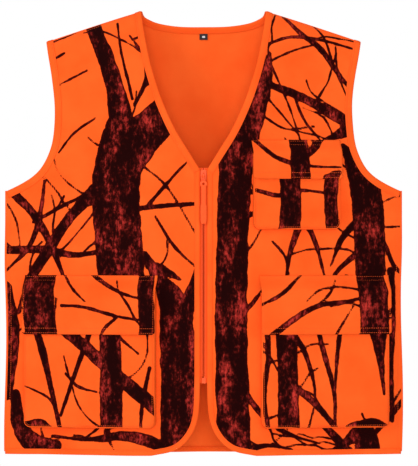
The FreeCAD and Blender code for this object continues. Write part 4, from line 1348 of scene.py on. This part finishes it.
def size_label():
    """A label folded double, its fold at the bottom, hanging inside the back of the neck."""
    low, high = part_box("size_label")
    half = (high.x - low.x) / 2
    turn = np.linspace(0, math.pi, 7)
    down = np.linspace(high.z, low.z, 10)
    z = np.concatenate([down, low.z - 0.00025 * np.sin(turn[1:-1]), down[::-1]])
    back = FOLD_UP + FOLD_CLOTH - CLOTH / 2 + 0.0003
    out = np.concatenate([np.full(10, back + 0.0006), back + 0.0003 + 0.0003 * np.cos(turn[1:-1]),
                          np.full(10, back)])
    x, run = np.meshgrid(np.linspace(-half, half, 16), run_of(1, 0 * z, z))
    out = np.repeat(out[:, None], 16, 1)
    middle, _ = on_run(x, run, -out)
    normals = surface_normals(middle)
    pile = Pile()
    lay = np.stack([x, 0 * x, run], -1)
    pile.shell(middle + normals * 0.00012, middle - normals * 0.00012, lay)
    obj = pile.build("size_label_tag", "label cloth", "label cloth")
    stand_in(obj, "size_label")


# ------------------------------------------------------------------ stage


def area_light(name, place, size, power, target):
    data = bpy.data.lights.new(name, "AREA")
    data.shape, data.size, data.size_y = "RECTANGLE", size[0], size[1]
    data.energy = power
    lamp = bpy.data.objects.new(name, data)
    lamp.location = place
    lamp.rotation_mode = "QUATERNION"
    lamp.rotation_quaternion = (
        mathutils.Vector(target) - mathutils.Vector(place)
    ).to_track_quat("-Z", "Y")
    bpy.context.scene.collection.objects.link(lamp)


def build_stage():
    scene = bpy.context.scene
    deselect()
    bpy.ops.mesh.primitive_plane_add(size=6, location=(0, 0, -1.30))
    floor = bpy.context.object
    floor.name = "pale_floor"
    material, tree = new_material("pale floor")
    finish_material(material, tree, (0.86, 0.86, 0.86), None, 0.9, 0, 0)
    floor.data.materials.append(material)
    area_light("key_light", (-2.2, -2.0, 1.1), (1.2, 1.2), 30, (0, 0, -0.3))
    area_light("fill_light", (2.0, -2.6, 0.2), (2.4, 2.4), 8, (0, 0, -0.3))
    area_light("front_light", (0, -5.6, -0.1), (2.0, 2.0), 130, (0, 0, -0.3))
    area_light("top_light", (0, 0.3, 1.8), (2.0, 2.0), 9, (0, 0, -0.3))
    area_light("back_light", (0.4, 2.8, 0.6), (2.4, 2.4), 24, (0, 0, -0.3))
    world = bpy.data.worlds.new("studio")
    world.use_nodes = True
    background = world.node_tree.nodes["Background"]
    background.inputs["Color"].default_value = (1, 1, 1, 1)
    # The backdrop shows as white, and lights the cloth more gently than it looks.
    seen = world.node_tree.nodes.new("ShaderNodeLightPath").outputs["Is Camera Ray"]
    strength = maths(world.node_tree, "MULTIPLY_ADD", seen, 0.52, 0.48)
    world.node_tree.links.new(strength, background.inputs["Strength"])
    scene.world = world
    camera = bpy.data.cameras.new("camera")
    camera.lens, camera.sensor_width = 265.2, 36
    eye = bpy.data.objects.new("camera", camera)
    eye.location = (0.008, -5.05, -0.324)
    eye.rotation_euler = (math.pi / 2, 0, 0)
    scene.collection.objects.link(eye)
    scene.camera = eye
    scene.view_settings.view_transform = "Standard"


# ------------------------------------------------------------------ materials


def make_materials():
    make_knit()
    make_tree_print()
    cloth_material("printed cloth", look().orange, True)
    cloth_material("plain cloth", look().orange, False)
    # Painted light: the inside cloth is the orange made lighter in green and blue, to offset the shade
    # inside the vest.
    inside = tuple(min(c * k, 1) for c, k in zip(look().orange, (1.0, 1.12, 1.2)))
    cloth_material("plain cloth inside", inside, False)
    cloth_material("binding cloth", look().orange, False)
    orange = tuple(look().orange)
    deep = tuple(c * k for c, k in zip(orange, (0.9, 0.75, 0.7)))
    object_material("thread", orange, deep, 0.6, 4000)
    object_material("zip tape cloth", (0.95, 0.10, 0.012), (0.80, 0.07, 0.009), 0.85, 1500, 0.4)
    object_material("zip plastic", (1.0, 0.10, 0.010), (0.88, 0.075, 0.008), 0.45, 300, 0.05)
    object_material("zip metal", (1.0, 0.10, 0.010), (0.88, 0.075, 0.008), 0.42, 500, 0.08)
    object_material("pull tab", (1.0, 0.10, 0.010), (0.88, 0.075, 0.008), 0.6, 1200, 0.25)
    object_material("hook tape", (0.90, 0.12, 0.02), (0.55, 0.06, 0.01), 0.8, 2600, 0.8)
    object_material("loop tape", (0.92, 0.13, 0.02), (0.70, 0.08, 0.014), 0.95, 1300, 0.9)
    label_material()


def label_material():
    """Dark woven label with one small pale block."""
    material, tree = new_material("label cloth")
    place = add(tree, "ShaderNodeAttribute", attribute_name="lay").outputs["Vector"]
    parts = add(tree, "ShaderNodeSeparateXYZ")
    tree.links.new(place, parts.inputs["Vector"])
    middle = run_of(1, np.zeros(1), np.array([sum(c.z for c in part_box("size_label")) / 2]))[0]
    along = maths(tree, "ABSOLUTE", maths(tree, "SUBTRACT", parts.outputs["Z"], float(middle)))
    across = maths(tree, "ABSOLUTE", parts.outputs["X"])
    mark = maths(tree, "MULTIPLY", maths(tree, "LESS_THAN", across, 0.0021),
                 maths(tree, "LESS_THAN", along, 0.0015))
    fine = noise(tree, place, 1500.0, 3.0)
    colour = mix(tree, mark, (0.012, 0.011, 0.013), (0.62, 0.64, 0.66))
    finish_material(material, tree, colour, fine, 0.8, 0.3, 0.0002)


# ------------------------------------------------------------------ operators


class VEST_OT_materials(bpy.types.Operator):
    """Makes the cloth, zip, tape and label finishes"""

    bl_idname = "vest.materials"
    bl_label = "Make Materials"

    def execute(self, context):
        make_materials()
        return {"FINISHED"}


class VEST_OT_body(bpy.types.Operator):
    """Builds the printed fronts and the printed back"""

    bl_idname = "vest.body"
    bl_label = "Build Body Cloth"

    def execute(self, context):
        body_cloth("front_left_panel_cloth", -1, "left_front", look().cell)
        body_cloth("front_right_panel_cloth", -1, "right_front", look().cell)
        body_cloth("back_panel_cloth", 1, "back", look().back_cell)
        return {"FINISHED"}


class VEST_OT_bindings(bpy.types.Operator):
    """Folds the bindings over the neck, the armholes, the front edges and the hems"""

    bl_idname = "vest.bindings"
    bl_label = "Build Bindings"

    def execute(self, context):
        left = path_on(-1, NECK_LINE)
        across = path_on(1, BACK_NECK_LINE[::-1])
        neck = np.vstack([left[::-1] * (-1, 1), across, left])
        binding("neck_binding_fold", [Edge(neck, 1)], 0.010, "neck_binding", 0.0002)
        for side, sign in (("left", 1), ("right", -1)):
            front = path_on(-1, ARM_LINE, sign)
            back = path_on(1, ARM_LINE, sign)
            arm = np.vstack([front[::-1], back])
            edge = Edge(arm, sign)
            binding(f"{side}_armhole_binding_fold", [edge], 0.0108, f"{side}_armhole_binding")
            hem = np.array([(CORNER_X, HEM), (HALF, HEM)])
            line = np.vstack([FRONT_LINE[len(NECK_LINE):], hem])
            line = np.vstack([(EDGE_X, ZIP_TOP), line])
            edge = Edge(path_on(-1, line, sign), sign)
            binding(f"{side}_front_binding_fold", [edge], 0.0082, f"{side}_front_binding")
        line = np.array([(-HALF, HEM), (HALF, HEM)])
        binding("back_hem_binding_fold", [Edge(path_on(1, line), -1)], 0.0082, "back_hem_binding")
        return {"FINISHED"}


class VEST_OT_seams(bpy.types.Operator):
    """Closes the shoulder seams and the side seams"""

    bl_idname = "vest.seams"
    bl_label = "Build Seams"

    def execute(self, context):
        for side, sign in (("left", 1), ("right", -1)):
            x = np.linspace(0.0935, 0.2285, 80) * sign
            shoulder_seam(f"{side}_shoulder_seam", np.stack([x, 0 * x], -1), 0.0024, 0.0004)
            side_seam(f"{side}_side_seam", sign)
        return {"FINISHED"}


class VEST_OT_pockets(bpy.types.Operator):
    """Builds the pocket fronts and their side strips"""

    bl_idname = "vest.pockets"
    bl_label = "Build Pockets"

    def execute(self, context):
        for plan in pocket_plans():
            pocket_side(plan)
            pocket_face(plan)
        return {"FINISHED"}


class VEST_OT_flaps(bpy.types.Operator):
    """Builds the pocket flaps with their hook and loop tapes"""

    bl_idname = "vest.flaps"
    bl_label = "Build Flaps"

    def execute(self, context):
        for plan in pocket_plans():
            pocket_flap(plan)
            closure(plan, "loop", "vest")
            closure(plan, "hook", f"{plan.name}_flap")
        return {"FINISHED"}


class VEST_OT_zip(bpy.types.Operator):
    """Builds the zip's tapes, teeth and end pieces"""

    bl_idname = "vest.zip"
    bl_label = "Build Zip"

    def execute(self, context):
        for side, sign in (("left", 1), ("right", -1)):
            zip_tape(side, sign)
            zip_teeth(side, sign)
        zip_ends()
        return {"FINISHED"}


class VEST_OT_slider(bpy.types.Operator):
    """Builds the zip's slider"""

    bl_idname = "vest.slider"
    bl_label = "Build Slider"

    def execute(self, context):
        zip_slider()
        return {"FINISHED"}


class VEST_OT_pull(bpy.types.Operator):
    """Builds the zip pull with its ring and its long strap"""

    bl_idname = "vest.pull"
    bl_label = "Build Pull"

    def execute(self, context):
        zip_pull()
        return {"FINISHED"}


class VEST_OT_label(bpy.types.Operator):
    """Builds the size label inside the back of the neck"""

    bl_idname = "vest.label"
    bl_label = "Build Size Label"

    def execute(self, context):
        size_label()
        return {"FINISHED"}


class VEST_OT_stage(bpy.types.Operator):
    """Sets up the floor, the soft light and the camera"""

    bl_idname = "vest.stage"
    bl_label = "Set Stage"

    def execute(self, context):
        build_stage()
        return {"FINISHED"}


STEPS = (
    VEST_OT_materials, VEST_OT_body, VEST_OT_bindings, VEST_OT_seams, VEST_OT_pockets,
    VEST_OT_flaps, VEST_OT_zip, VEST_OT_slider, VEST_OT_pull, VEST_OT_label, VEST_OT_stage,
)


class VEST_PT_panel(bpy.types.Panel):
    """The vest's settings and its steps in order"""

    bl_idname = "VEST_PT_panel"
    bl_label = "Field Vest"
    bl_space_type = "VIEW_3D"
    bl_region_type = "UI"
    bl_category = "Vest"

    def draw(self, context):
        for key in VestLook.__annotations__:
            self.layout.prop(context.scene.vest_look, key)
        for step in STEPS:
            self.layout.operator(step.bl_idname)


CLASSES = (VestLook, *STEPS, VEST_PT_panel)


def register():
    for item in CLASSES:
        bpy.utils.register_class(item)
    bpy.types.Scene.vest_look = bpy.props.PointerProperty(type=VestLook)


def unregister():
    del bpy.types.Scene.vest_look
    for item in reversed(CLASSES):
        bpy.utils.unregister_class(item)


def main():
    register()
    bpy.ops.vest.materials()
    bpy.ops.vest.body()
    bpy.ops.vest.bindings()
    bpy.ops.vest.seams()
    bpy.ops.vest.pockets()
    bpy.ops.vest.flaps()
    bpy.ops.vest.zip()
    bpy.ops.vest.slider()
    bpy.ops.vest.pull()
    bpy.ops.vest.label()
    bpy.ops.vest.stage()
    bpy.context.view_layer.update()


if __name__ == "__main__":
    main()
